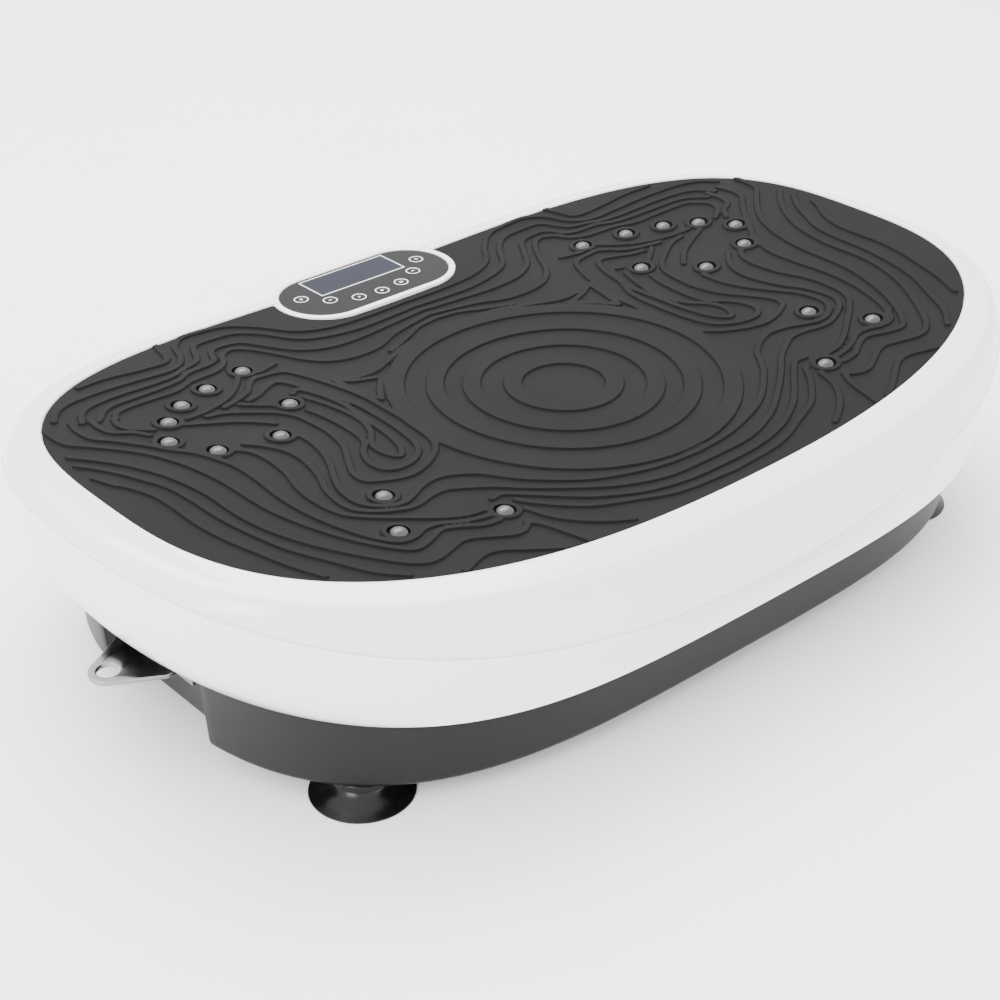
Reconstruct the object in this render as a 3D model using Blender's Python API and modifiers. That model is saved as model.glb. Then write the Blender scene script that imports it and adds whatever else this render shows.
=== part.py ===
"""Oscillating vibration plate: a see-saw deck on a fixed base.

The deck (moulded shell, rubber mat, massage studs and control panel) rocks about a shaft that
runs front to back. An electric motor turns a long eccentric shaft through a belt, and two
connecting rods on that shaft push the two ends of the deck up and down in turn.

Frame: metres, +Z up, +X along the deck to the user's right, +Y away from the user towards the
control panel. The origin is on the floor under the middle of the object.
"""
import math

import bmesh
import bpy
from mathutils import Vector

# ---------------------------------------------------------------- driving dimensions
DECK_Z = 0.135                 # top of the mat at the middle of the deck
DISH_RISE = 0.0231             # how far the deck curves up from its middle to the mat's ends
DISH_SQUARE = 1.146            # shape of that curve
DISH_QUARTIC = -0.146
OUTLINE_POINTS = 96

MAT_HALF = (0.3090, 0.1846)
MAT_POWERS = (2.95, 2.95)
MAT_THICK = 0.0040
MAT_GAP = 0.0004
DISH_STRIPS = 16

CREASE_HALF = (0.3366, 0.2151)  # widest line of the shell
CREASE_POWERS = (3.04, 2.46)
CREASE_Z = -0.0480
CREASE_SWEEP = 1.99
CREASE_TIP = 0.0081             # extra lift of the crease at the two ends
RIM_HALF = (0.3165, 0.2025)     # outer edge of the rim round the mat
RIM_Z = -0.0043
SHOULDER_FALL = 2.24            # 1 is a full quarter round, more is a flatter slope
SKIRT_HALF = (0.3095, 0.2088)   # lower edge of the shell
SKIRT_POWERS = (4.20, 1.95)
SKIRT_Z = -0.0731
SKIRT_SWEEP = 0.34
BELLY = (0.0091, -0.0024)       # how far the lower facet swells at the ends and at the sides
BELLY_LOW = 1.35                # moves the fullest line below the middle of the facet
SHELL_THICK = 0.0030

PANEL_Y = 0.1726
PANEL_STRAIGHT = 0.0345
PANEL_RADIUS = 0.0310
PANEL_RING = 0.0050
PANEL_TOP = 0.0006
PANEL_THICK = 0.0024
PANEL_LIP = 0.0016
PANEL_BOSS_DEPTH = 0.0200
WINDOW_SIZE = (0.0702, 0.0258)
WINDOW_Y = 0.1874
KEY_RADIUS = 0.0052
KEY_HOLE = 0.0055
KEY_THICK = 0.0016
KEY_PLACES = {
    "up": (-0.0500, 0.1785), "down": (-0.0359, 0.1645), "mode": (-0.0182, 0.1555),
    "start": (0.0, 0.1534), "set": (0.0182, 0.1555), "minus": (0.0359, 0.1645),
    "plus": (0.0500, 0.1785),
}

STUD_RADIUS = 0.0056
STUD_HOLE = 0.0062
STUD_PLACES = (
    (0.1461, 0.1091), (0.1791, 0.0992), (0.2049, 0.0875), (0.2244, 0.0714), (0.2387, 0.0485),
    (0.2215, 0.0241), (0.1498, 0.0537), (0.1799, 0.0207), (0.1778, -0.0739), (0.1971, -0.1116),
    (0.1342, -0.1265),
)

TRAY_FOOT_HALF = (0.2950, 0.1900)
TRAY_TOP_HALF = (0.2985, 0.1935)
TRAY_POWERS = (3.70, 2.68)
TRAY_Z = 0.0150
TRAY_TOP = 0.0840
TRAY_THICK = 0.0030
RECESS_X = 0.2800               # end wall of the recess that holds the band eyelet
RECESS_WIDE = 0.0530
RECESS_NARROW = 0.0400

CHASSIS_SIZE = (0.500, 0.250, 0.003)
CHASSIS_Z = 0.0183
CHASSIS_TOP = CHASSIS_Z + CHASSIS_SIZE[2]

FOOT_PLACES = {"front_left": (-0.240, -0.125), "front_right": (0.229, -0.125),
               "rear_left": (-0.227, 0.120), "rear_right": (0.227, 0.120)}
EYELET_Z = 0.0518
EYELET_X = 0.3210
EYELET_OUTER = 0.0116
EYELET_HOLE = 0.0070
EYELET_HALF_WIDTH = 0.0260

PIVOT_Z = 0.1030                # the deck rocks about this height
PIVOT_RADIUS = 0.0080
PIVOT_BORE = 0.0084
PIVOT_HALF_LENGTH = 0.1480
CRANK_Y = 0.0
CRANK_Z = 0.0580
CRANK_THROW = 0.0033
CRANK_X = 0.1900
SHAFT_RADIUS = 0.0090
JOURNAL_RADIUS = 0.0140
BEARING_X = 0.1550
ROD_BORE = 0.0145
ROD_EYE_BORE = 0.0115
PIN_RADIUS = 0.0040
BIG_PULLEY = 0.0300
SMALL_PULLEY = 0.0150
PULLEY_X = -0.0150
BELT_WIDTH = 0.0120
BELT_THICK = 0.0020
MOTOR_Y = -0.0850
MOTOR_Z = 0.0700
MOTOR_RADIUS = 0.0420
MOTOR_ENDS = (-0.1500, -0.0420)

INLET_Y = 0.1910
INLET_Z = 0.0400
SOCKET_X = -0.0150
SWITCH_X = 0.0190
SWITCH_TILT = math.radians(10.0)

CLEAR = 0.0003

COLORS = {
    "white": ((0.86, 0.86, 0.85), 0.0, 0.22),
    "mat": ((0.045, 0.045, 0.047), 0.0, 0.75),
    "panel": ((0.035, 0.036, 0.038), 0.0, 0.25),
    "window": ((0.10, 0.12, 0.17), 0.0, 0.15),
    "black": ((0.04, 0.041, 0.044), 0.0, 0.45),
    "gloss": ((0.015, 0.015, 0.017), 0.0, 0.12),
    "stud": ((0.28, 0.28, 0.29), 0.6, 0.30),
    "steel": ((0.55, 0.55, 0.56), 1.0, 0.35),
    "chrome": ((0.75, 0.75, 0.76), 1.0, 0.15),
    "motor": ((0.20, 0.21, 0.22), 0.7, 0.45),
    "belt": ((0.02, 0.02, 0.02), 0.0, 0.80),
    "board": ((0.05, 0.22, 0.09), 0.0, 0.50),
    "bearing": ((0.30, 0.30, 0.31), 0.8, 0.40),
}


# ---------------------------------------------------------------- helpers
def clear_scene():
    for old in list(bpy.data.objects):
        bpy.data.objects.remove(old, do_unlink=True)


def new_collection(name):
    made = bpy.data.collections.new(name)
    bpy.context.scene.collection.children.link(made)
    return made


def material(key):
    found = bpy.data.materials.get(key)
    if found:
        return found
    color, metallic, roughness = COLORS[key]
    made = bpy.data.materials.new(key)
    made.use_nodes = True
    shader = made.node_tree.nodes["Principled BSDF"]
    shader.inputs["Base Color"].default_value = (*color, 1.0)
    shader.inputs["Metallic"].default_value = metallic
    shader.inputs["Roughness"].default_value = roughness
    return made


def put(name, mesh, key, place=(0, 0, 0)):
    """Links a mesh as the named sub-part."""
    part = bpy.data.objects.new(name, mesh)
    part.location = place
    mesh.materials.clear()
    mesh.materials.append(material(key))
    PARTS.objects.link(part)
    return part


def as_cutter(part):
    """Hides a working solid from the finished object."""
    for home in list(part.users_collection):
        home.objects.unlink(part)
    CUTTERS.objects.link(part)
    part.hide_render = True
    part.display_type = "WIRE"
    return part


def boolean(part, cutter, operation="DIFFERENCE"):
    step = part.modifiers.new(cutter.name, "BOOLEAN")
    step.operation = operation
    step.solver = "EXACT"
    step.object = cutter
    return part


def mesh_from(name, bm):
    mesh = bpy.data.meshes.new(name)
    bm.normal_update()
    bm.to_mesh(mesh)
    bm.free()
    return mesh


def box(name, key, low, high):
    """Axis-aligned block from its low corner to its high corner."""
    bm = bmesh.new()
    bmesh.ops.create_cube(bm, size=1.0)
    size = [h - l for l, h in zip(low, high)]
    middle = [(h + l) / 2 for l, h in zip(low, high)]
    bmesh.ops.scale(bm, vec=size, verts=bm.verts)
    return put(name, mesh_from(name, bm), key, middle)


def rod(name, key, radius, start, end, sides=24):
    """Solid round bar between two points."""
    start, end = Vector(start), Vector(end)
    bm = bmesh.new()
    bmesh.ops.create_cone(bm, cap_ends=True, segments=sides, radius1=radius, radius2=radius,
                          depth=(end - start).length)
    turn = (end - start).to_track_quat("Z", "Y").to_matrix()
    bmesh.ops.rotate(bm, matrix=turn, verts=bm.verts)
    return put(name, mesh_from(name, bm), key, (start + end) / 2)


def turned(name, key, profile, place=(0, 0, 0), axis="Z", sides=32):
    """Screw of a profile of (radius, height) pairs that runs down the outer side."""
    bm = bmesh.new()
    spots = []
    for radius, height in profile:
        flat = (radius, 0.0, height) if axis == "Z" else (height, 0.0, radius)
        spots.append(bm.verts.new(flat))
    for first, second in zip(spots, spots[1:]):
        bm.edges.new((first, second))
    part = put(name, mesh_from(name, bm), key, place)
    step = part.modifiers.new("Turn", "SCREW")
    step.axis = axis
    step.steps = step.render_steps = sides
    step.use_merge_vertices = True
    step.merge_threshold = 0.00005
    return part


def flat(name, key, outlines, low, high):
    """Flat plate with holes: the first outline is the edge, the others are holes."""
    curve = bpy.data.curves.new(name, "CURVE")
    curve.dimensions = "2D"
    curve.fill_mode = "BOTH"
    curve.extrude = (high - low) / 2
    for outline in outlines:
        line = curve.splines.new("POLY")
        line.points.add(len(outline) - 1)
        for spot, (x, y) in zip(line.points, outline):
            spot.co = (x, y, 0.0, 1.0)
        line.use_cyclic_u = True
    guide = bpy.data.objects.new(name + "_guide", curve)
    CUTTERS.objects.link(guide)
    bpy.context.view_layer.update()
    seen = guide.evaluated_get(bpy.context.evaluated_depsgraph_get())
    mesh = bpy.data.meshes.new_from_object(seen)
    bpy.data.objects.remove(guide, do_unlink=True)
    bm = bmesh.new()
    bm.from_mesh(mesh)
    bmesh.ops.remove_doubles(bm, verts=bm.verts, dist=0.00001)
    bmesh.ops.recalc_face_normals(bm, faces=bm.faces)
    bm.to_mesh(mesh)
    bm.free()
    mesh.name = name
    return put(name, mesh, key, (0, 0, (low + high) / 2))


def circle(radius, place=(0, 0), sides=24):
    turns = (2 * math.pi * i / sides for i in range(sides))
    return [(place[0] + radius * math.cos(t), place[1] + radius * math.sin(t)) for t in turns]


def stadium(radius, sides=12):
    """Panel outline: two half circles joined by straight lines."""
    points = []
    for side, start in ((1, -0.5), (-1, 0.5)):
        for i in range(sides + 1):
            turn = math.pi * (start + i / sides)
            points.append((side * PANEL_STRAIGHT + radius * math.cos(turn),
                           PANEL_Y + radius * math.sin(turn)))
    return points


def dish(x):
    """Height the deck gains towards its ends."""
    t = x / MAT_HALF[0]
    return DISH_RISE * (DISH_SQUARE * t * t + DISH_QUARTIC * t ** 4)


def superellipse(half, powers, count=OUTLINE_POINTS):
    """Evenly spaced points of |x/a|^n + |y/b|^m = 1, anticlockwise from +X."""
    fine = 600
    quarter = []
    for i in range(fine + 1):
        turn = math.pi / 2 * i / fine
        quarter.append((half[0] * max(math.cos(turn), 0.0) ** (2 / powers[0]),
                        half[1] * math.sin(turn) ** (2 / powers[1])))
    quarter[-1] = (0.0, half[1])
    lengths = [0.0]
    for first, second in zip(quarter, quarter[1:]):
        lengths.append(lengths[-1] + math.dist(first, second))
    picked = []
    at = 0
    for i in range(count // 4 + 1):
        goal = lengths[-1] * i / (count // 4)
        while at < fine - 1 and lengths[at + 1] < goal:
            at += 1
        part = (goal - lengths[at]) / (lengths[at + 1] - lengths[at])
        picked.append(tuple(a + (b - a) * part for a, b in zip(quarter[at], quarter[at + 1])))
    left = [(-x, y) for x, y in reversed(picked[:-1])]
    upper = picked + left
    lower = [(x, -y) for x, y in reversed(upper[1:-1])]
    return upper + lower


def loft(name, key, rings, folded=False):
    """Closed skin through rings of equal length; folded ends follow the dish in strips."""
    bm = bmesh.new()
    rows = [[bm.verts.new(spot) for spot in ring] for ring in rings]
    count = len(rows[0])
    for lower, upper in zip(rows, rows[1:]):
        for i in range(count):
            j = (i + 1) % count
            bm.faces.new((lower[i], lower[j], upper[j], upper[i]))
    for row in (rows[0], rows[-1]):
        if folded:
            for i in range(count // 2):
                far = (-i) % count
                span = (row[i], row[i + 1], row[(far - 1) % count], row[far])
                bm.faces.new(list(dict.fromkeys(span)))
        else:
            bm.faces.new(row)
    bmesh.ops.recalc_face_normals(bm, faces=bm.faces)
    return put(name, mesh_from(name, bm), key)


# ---------------------------------------------------------------- deck shell
def shell_ring(half, powers, height, sweep, inset=0.0, tip=0.0):
    """One contour of the shell, lifted along the dish by its sweep and at its ends by tip."""
    outline = superellipse((half[0] - inset, half[1] - inset), powers)
    return [(x, y, DECK_Z + height + sweep * dish(x) + tip * (x / CREASE_HALF[0]) ** 6)
            for x, y in outline]


def mix(first, second, share):
    return [a + (b - a) * share for a, b in zip(first, second)]


def shoulder(turn, inset=0.0):
    """Contour between crease and rim, on a soft slope; turn runs from 0 to 1."""
    inward = 1 - math.cos(turn * math.pi / 2)
    upward = math.sin(turn * math.pi / 2) ** SHOULDER_FALL
    half = mix(CREASE_HALF, RIM_HALF, inward)
    powers = mix(CREASE_POWERS, MAT_POWERS, upward)
    height, sweep, tip = mix((CREASE_Z, CREASE_SWEEP, CREASE_TIP), (RIM_Z, 1.0, 0.0), upward)
    return shell_ring(half, powers, height, sweep, inset, tip)


def belly(share, inset=0.0):
    """Contour between crease and lower edge, swelled where the facet is fullest."""
    swell = math.sin(math.pi * share ** BELLY_LOW)
    half = [h + b * swell for h, b in zip(mix(CREASE_HALF, SKIRT_HALF, share), BELLY)]
    powers = mix(CREASE_POWERS, SKIRT_POWERS, share)
    height, sweep, tip = mix((CREASE_Z, CREASE_SWEEP, CREASE_TIP), (SKIRT_Z, SKIRT_SWEEP, 0.0),
                             share)
    return shell_ring(half, powers, height, sweep, inset, tip)


def build_deck_shell():
    seat = (MAT_HALF[0] + MAT_GAP, MAT_HALF[1] + MAT_GAP)
    crest = (seat[0] + 0.0025, seat[1] + 0.0050)
    rings = [shell_ring(seat, MAT_POWERS, -MAT_THICK - 0.0002, 1.0),
             shell_ring(seat, MAT_POWERS, 0.0, 1.0),
             shell_ring(crest, MAT_POWERS, 0.0006, 1.0)]
    rings += [shoulder(turn) for turn in (1.0, 0.85, 0.65, 0.42, 0.20, 0.0)]
    rings += [belly(share) for share in (0.30, 0.60, 0.85, 1.0)]
    rings += [belly(1.0, SHELL_THICK), belly(0.60, SHELL_THICK), shoulder(0.0, SHELL_THICK),
              shoulder(0.60, SHELL_THICK),
              shell_ring(RIM_HALF, MAT_POWERS, RIM_Z - 0.0050, 1.0, SHELL_THICK),
              shell_ring(seat, MAT_POWERS, -MAT_THICK - 0.0032, 1.0, SHELL_THICK)]
    shell = loft("deck_shell", "white", rings, folded=True)
    boss = as_cutter(flat("panel_boss", "white", [stadium(PANEL_RADIUS + PANEL_RING)],
                          DECK_Z - PANEL_BOSS_DEPTH, DECK_Z + PANEL_LIP))
    pocket = as_cutter(flat("panel_pocket", "white", [stadium(PANEL_RADIUS + CLEAR)],
                            DECK_Z + PANEL_TOP - PANEL_THICK - 0.0003, DECK_Z + 0.02))
    boolean(shell, boss, "UNION")
    boolean(shell, pocket)
    return shell


# ---------------------------------------------------------------- mat and studs
def mat_outline():
    """Mat edge with the panel's ring taken out of its rear."""
    ring = PANEL_RADIUS + PANEL_RING + CLEAR
    edge = superellipse(MAT_HALF, MAT_POWERS)

    def in_ring(x, y):
        reach = max(abs(x) - PANEL_STRAIGHT, 0.0)
        return math.hypot(reach, y - PANEL_Y) < ring + 0.004

    kept = [spot for spot in edge if not (spot[1] > 0 and in_ring(*spot))]
    start = max(range(len(kept)), key=lambda i: kept[i][0] if kept[i][1] > 0 and
                kept[(i + 1) % len(kept)][0] < -PANEL_STRAIGHT else -1)
    kept = kept[start + 1:] + kept[:start + 1]
    reach = (PANEL_STRAIGHT + ring * 0.95) / MAT_HALF[0]
    edge_y = MAT_HALF[1] * (1 - reach ** MAT_POWERS[0]) ** (1 / MAT_POWERS[1]) - 0.0002
    cross = math.asin((edge_y - PANEL_Y) / ring)
    notch = []
    steps = 12
    for i in range(steps + 1):
        turn = cross - (cross + math.pi / 2) * i / steps
        notch.append((PANEL_STRAIGHT + ring * math.cos(turn), PANEL_Y + ring * math.sin(turn)))
    notch += [(-x, y) for x, y in reversed(notch)]
    return kept + notch


def build_mat():
    holes = [circle(STUD_HOLE, (side * x, y), 12) for side in (-1, 1) for x, y in STUD_PLACES]
    mat = flat("rubber_mat", "mat", [mat_outline()] + holes, 0.0, MAT_THICK)
    knots = [MAT_HALF[0] * (2 * i / DISH_STRIPS - 1) for i in range(DISH_STRIPS + 1)]
    bm = bmesh.new()
    bm.from_mesh(mat.data)
    for x in knots[1:-1]:
        every = list(bm.verts) + list(bm.edges) + list(bm.faces)
        bmesh.ops.bisect_plane(bm, geom=every, dist=0.000001, plane_co=(x, 0, 0),
                               plane_no=(1, 0, 0))
    for vert in bm.verts:
        at = min(max((vert.co.x / MAT_HALF[0] + 1) / 2 * DISH_STRIPS, 0.0), DISH_STRIPS - 1e-6)
        low = int(at)
        rise = dish(knots[low]) + (dish(knots[low + 1]) - dish(knots[low])) * (at - low)
        vert.co.z += rise
    bmesh.ops.dissolve_limit(bm, angle_limit=math.radians(0.1), verts=bm.verts, edges=bm.edges)
    bm.to_mesh(mat.data)
    bm.free()
    mat.location.z = DECK_Z - MAT_THICK / 2
    return mat


def build_studs():
    """Massage studs: domed buttons that stand through the mat, eleven under each foot."""
    profile = [(0.0, 0.0026), (0.0034, 0.0020), (STUD_RADIUS, 0.0002), (STUD_RADIUS, -0.0036),
               (0.0, -0.0036)]
    for side, label in ((-1, "left"), (1, "right")):
        for i, (x, y) in enumerate(STUD_PLACES):
            turned(f"stud_{label}_{i + 1:02d}", "stud", profile,
                   (side * x, y, DECK_Z + dish(x)), sides=12)


# ---------------------------------------------------------------- control panel
def build_panel():
    top = DECK_Z + PANEL_TOP
    w, h = WINDOW_SIZE
    grow = 0.0002
    window = [(-w / 2 - grow, WINDOW_Y - h / 2 - grow), (w / 2 + grow, WINDOW_Y - h / 2 - grow),
              (w / 2 + grow, WINDOW_Y + h / 2 + grow), (-w / 2 - grow, WINDOW_Y + h / 2 + grow)]
    holes = [circle(KEY_HOLE, spot, 18) for spot in KEY_PLACES.values()]
    flat("panel_overlay", "panel", [stadium(PANEL_RADIUS), window] + holes,
         top - PANEL_THICK, top)
    box("display_window", "window", (-w / 2, WINDOW_Y - h / 2, top - PANEL_THICK),
        (w / 2, WINDOW_Y + h / 2, top))
    profile = [(0.0, 0.0002), (KEY_RADIUS, 0.0002), (KEY_RADIUS, -KEY_THICK), (0.0, -KEY_THICK)]
    for name, (x, y) in KEY_PLACES.items():
        turned(f"key_{name}", "panel", profile, (x, y, top), sides=18)
    board_top = DECK_Z - PANEL_BOSS_DEPTH - 0.0020
    box("control_board", "board", (-0.055, 0.1476, board_top - 0.0016),
        (0.055, 0.1906, board_top))


# ---------------------------------------------------------------- base
def tray_ring(half, height, inset=0.0):
    """Tray contour with a recess in the middle of each end."""
    edge = superellipse((half[0] - inset, half[1] - inset), TRAY_POWERS, 72)
    wide = RECESS_WIDE + inset
    narrow = RECESS_NARROW + inset
    depth = RECESS_X - inset

    def end_x(y):
        share = 1 - (abs(y) / (half[1] - inset)) ** TRAY_POWERS[1]
        return (half[0] - inset) * share ** (1 / TRAY_POWERS[0])

    right = [spot for spot in edge if spot[0] > 0 and wide + 0.006 < spot[1]]
    middle = [(0.0, half[1] - inset)]
    recess = [(end_x(wide + 0.004), wide + 0.004), (end_x(wide) - 0.0010, wide),
              (depth + 0.0020, narrow + 0.0010), (depth, narrow - 0.0030)]
    quarter = list(reversed(recess)) + right
    upper = quarter + middle + [(-x, y) for x, y in reversed(quarter)]
    lower = [(x, -y) for x, y in reversed(upper)]
    return [(x, y, height) for x, y in upper + lower]


def build_tray():
    corner = 0.0040
    rings = [tray_ring(TRAY_FOOT_HALF, TRAY_Z, corner),
             tray_ring(TRAY_FOOT_HALF, TRAY_Z + 0.0012, 0.0012),
             tray_ring(TRAY_FOOT_HALF, TRAY_Z + corner),
             tray_ring(TRAY_TOP_HALF, TRAY_TOP),
             tray_ring(TRAY_TOP_HALF, TRAY_TOP, TRAY_THICK),
             tray_ring(TRAY_FOOT_HALF, TRAY_Z + TRAY_THICK, TRAY_THICK)]
    tray = loft("base_tray", "black", rings)
    opening = as_cutter(box("inlet_opening", "black", (-0.0310, INLET_Y - 0.017, INLET_Z - 0.0140),
                            (0.0310, INLET_Y + 0.013, INLET_Z + 0.0140)))
    boolean(tray, opening)
    w, d, h = CHASSIS_SIZE
    box("chassis_plate", "steel", (-w / 2, -d / 2, CHASSIS_Z), (w / 2, d / 2, CHASSIS_Z + h))
    return tray


def build_feet():
    """Suction-cup feet: a thin cone that is hollow underneath, on a short collar."""
    profile = [(0.0, TRAY_Z - 0.0002), (0.0170, TRAY_Z - 0.0002), (0.0180, 0.0095),
               (0.0305, 0.0012), (0.0305, 0.0), (0.0290, 0.0), (0.0165, 0.0062), (0.0, 0.0070)]
    for name, spot in FOOT_PLACES.items():
        turned(f"foot_{name}", "gloss", profile, (*spot, 0.0), sides=24)


def build_eyelets():
    """Steel eyes for resistance bands: a ring on a plate that widens to a wall flange."""
    thick = 0.0030
    wall = RECESS_X + CLEAR
    for side, label in ((-1, "left"), (1, "right")):
        plate = flat(f"eyelet_{label}", "chrome",
                     [eyelet_edge(wall), circle(EYELET_HOLE, (EYELET_X, 0), 20)],
                     EYELET_Z - thick / 2, EYELET_Z + thick / 2)
        flange = box(f"eyelet_flange_{label}", "chrome",
                     (wall, -EYELET_HALF_WIDTH, EYELET_Z - 0.0140),
                     (wall + thick, EYELET_HALF_WIDTH, EYELET_Z + thick / 2))
        boolean(plate, as_cutter(flange), "UNION")
        if side < 0:
            for piece in (plate, flange):
                piece.rotation_euler.z = math.pi
                piece.location.x *= -1


def eyelet_edge(wall):
    """Outline of the right-hand eye plate, from the wall out round the eye."""
    edge = [(wall, EYELET_HALF_WIDTH), (wall, -EYELET_HALF_WIDTH)]
    edge.append((wall + 0.0180, -EYELET_HALF_WIDTH))
    for i in range(15):
        turn = math.radians(-45 + 90 * i / 14)
        edge.append((EYELET_X + EYELET_OUTER * math.cos(turn * 1.35),
                     EYELET_OUTER * math.sin(turn * 1.35)))
    edge.append((wall + 0.0180, EYELET_HALF_WIDTH))
    return edge


def build_inlet():
    """Mains inlet: a socket with three blades beside a rocker switch, in one moulded frame."""
    face = INLET_Y + 0.0060
    frame = box("power_inlet", "black", (-0.0300, INLET_Y - 0.0270, INLET_Z - 0.0130),
                (0.0300, face, INLET_Z + 0.0130))
    lip = as_cutter(box("inlet_lip", "black", (-0.0345, INLET_Y + 0.0035, INLET_Z - 0.0165),
                        (0.0345, face, INLET_Z + 0.0165)))
    socket = as_cutter(box("socket_cut", "black", (SOCKET_X - 0.0122, INLET_Y - 0.0150, INLET_Z - 0.0085),
                           (SOCKET_X + 0.0122, INLET_Y + 0.0230, INLET_Z + 0.0085)))
    rocker = as_cutter(box("rocker_cut", "black", (SWITCH_X - 0.0080, INLET_Y - 0.0090, INLET_Z - 0.0118),
                           (SWITCH_X + 0.0080, INLET_Y + 0.0230, INLET_Z + 0.0118)))
    boolean(frame, lip, "UNION")
    boolean(frame, socket)
    boolean(frame, rocker)
    for i, (dx, dz) in enumerate(((-0.0070, -0.0020), (0.0, 0.0030), (0.0070, -0.0020))):
        blade = as_cutter(box(f"inlet_blade_{i}", "steel",
                              (SOCKET_X + dx - 0.0010, INLET_Y - 0.0170, INLET_Z + dz - 0.0020),
                              (SOCKET_X + dx + 0.0010, INLET_Y + 0.0010, INLET_Z + dz + 0.0020)))
        boolean(frame, blade, "UNION")
    wide = 0.0076
    profile = [(-0.0098, 0.0), (-0.0098, 0.0030), (-0.0050, 0.0052), (0.0, 0.0060),
               (0.0050, 0.0052), (0.0098, 0.0030), (0.0098, 0.0), (0.0050, -0.0060),
               (-0.0050, -0.0060)]
    switch = flat("rocker_switch", "gloss", [profile], -wide, wide)
    bm = bmesh.new()
    bm.from_mesh(switch.data)
    for vert in bm.verts:
        x, y, z = vert.co
        up, out = x, y
        vert.co = (z, out * math.cos(SWITCH_TILT) - up * math.sin(SWITCH_TILT),
                   out * math.sin(SWITCH_TILT) + up * math.cos(SWITCH_TILT))
    bmesh.ops.recalc_face_normals(bm, faces=bm.faces)
    bm.to_mesh(switch.data)
    bm.free()
    switch.location = (SWITCH_X, INLET_Y + 0.0020, INLET_Z)


# ---------------------------------------------------------------- drive
def build_motor():
    back, front = MOTOR_ENDS
    turned("motor_body", "motor",
           [(0.0, front - 0.0010), (0.0300, front - 0.0010), (MOTOR_RADIUS - 0.003, front - 0.0100),
            (MOTOR_RADIUS, front - 0.0140), (MOTOR_RADIUS, back + 0.0100),
            (MOTOR_RADIUS - 0.0080, back), (0.0, back)],
           (0, MOTOR_Y, MOTOR_Z), axis="X", sides=24)
    bracket = box("motor_bracket", "steel", (-0.1600, MOTOR_Y - 0.0350, CHASSIS_TOP + CLEAR),
                  (-0.0360, MOTOR_Y + 0.0350, CHASSIS_TOP + 0.0035))
    plate = as_cutter(box("motor_face_plate", "steel",
                          (-0.0405, MOTOR_Y - 0.0350, CHASSIS_TOP + CLEAR),
                          (-0.0360, MOTOR_Y + 0.0350, MOTOR_Z + 0.0300)))
    hole = as_cutter(rod("motor_plate_hole", "steel", 0.0100, (-0.0500, MOTOR_Y, MOTOR_Z),
                         (-0.0300, MOTOR_Y, MOTOR_Z), 24))
    boolean(bracket, plate, "UNION")
    boolean(bracket, hole)
    near = PULLEY_X - BELT_WIDTH / 2 - 0.0020
    far = PULLEY_X + BELT_WIDTH / 2 + 0.0020
    turned("motor_pulley", "steel",
           [(0.0, far), (SMALL_PULLEY + 0.004, far), (SMALL_PULLEY + 0.004, far - 0.0015),
            (SMALL_PULLEY, far - 0.0015), (SMALL_PULLEY, near + 0.0015),
            (SMALL_PULLEY + 0.004, near + 0.0015), (SMALL_PULLEY + 0.004, near),
            (0.0060, near), (0.0060, front), (0.0, front)],
           (0, MOTOR_Y, MOTOR_Z), axis="X", sides=24)


def build_crank():
    """Eccentric shaft: a long bar with a pulley and two journals set off to opposite sides."""
    near = PULLEY_X - BELT_WIDTH / 2 - 0.0020
    far = PULLEY_X + BELT_WIDTH / 2 + 0.0020
    flange = BIG_PULLEY + 0.0040
    shaft = turned("eccentric_shaft", "steel",
                   [(0.0, 0.2100), (SHAFT_RADIUS, 0.2100), (SHAFT_RADIUS, far), (flange, far),
                    (flange, far - 0.0015), (BIG_PULLEY, far - 0.0015),
                    (BIG_PULLEY, near + 0.0015), (flange, near + 0.0015), (flange, near),
                    (SHAFT_RADIUS, near), (SHAFT_RADIUS, -0.2100), (0.0, -0.2100)],
                   (0, CRANK_Y, CRANK_Z), axis="X", sides=24)
    for side, label in ((-1, "left"), (1, "right")):
        journal = as_cutter(rod(f"journal_{label}", "steel", JOURNAL_RADIUS,
                                (side * CRANK_X - 0.011, CRANK_Y - side * CRANK_THROW, CRANK_Z),
                                (side * CRANK_X + 0.011, CRANK_Y - side * CRANK_THROW, CRANK_Z)))
        boolean(shaft, journal, "UNION")
        block = box(f"bearing_block_{label}", "bearing",
                    (side * BEARING_X - 0.009, CRANK_Y - 0.0240, CHASSIS_TOP + CLEAR),
                    (side * BEARING_X + 0.009, CRANK_Y + 0.0240, CRANK_Z + 0.0200))
        bore = as_cutter(rod(f"bearing_bore_{label}", "bearing", SHAFT_RADIUS + 0.0004,
                             (side * BEARING_X - 0.02, CRANK_Y, CRANK_Z),
                             (side * BEARING_X + 0.02, CRANK_Y, CRANK_Z)))
        boolean(block, bore)


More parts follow.
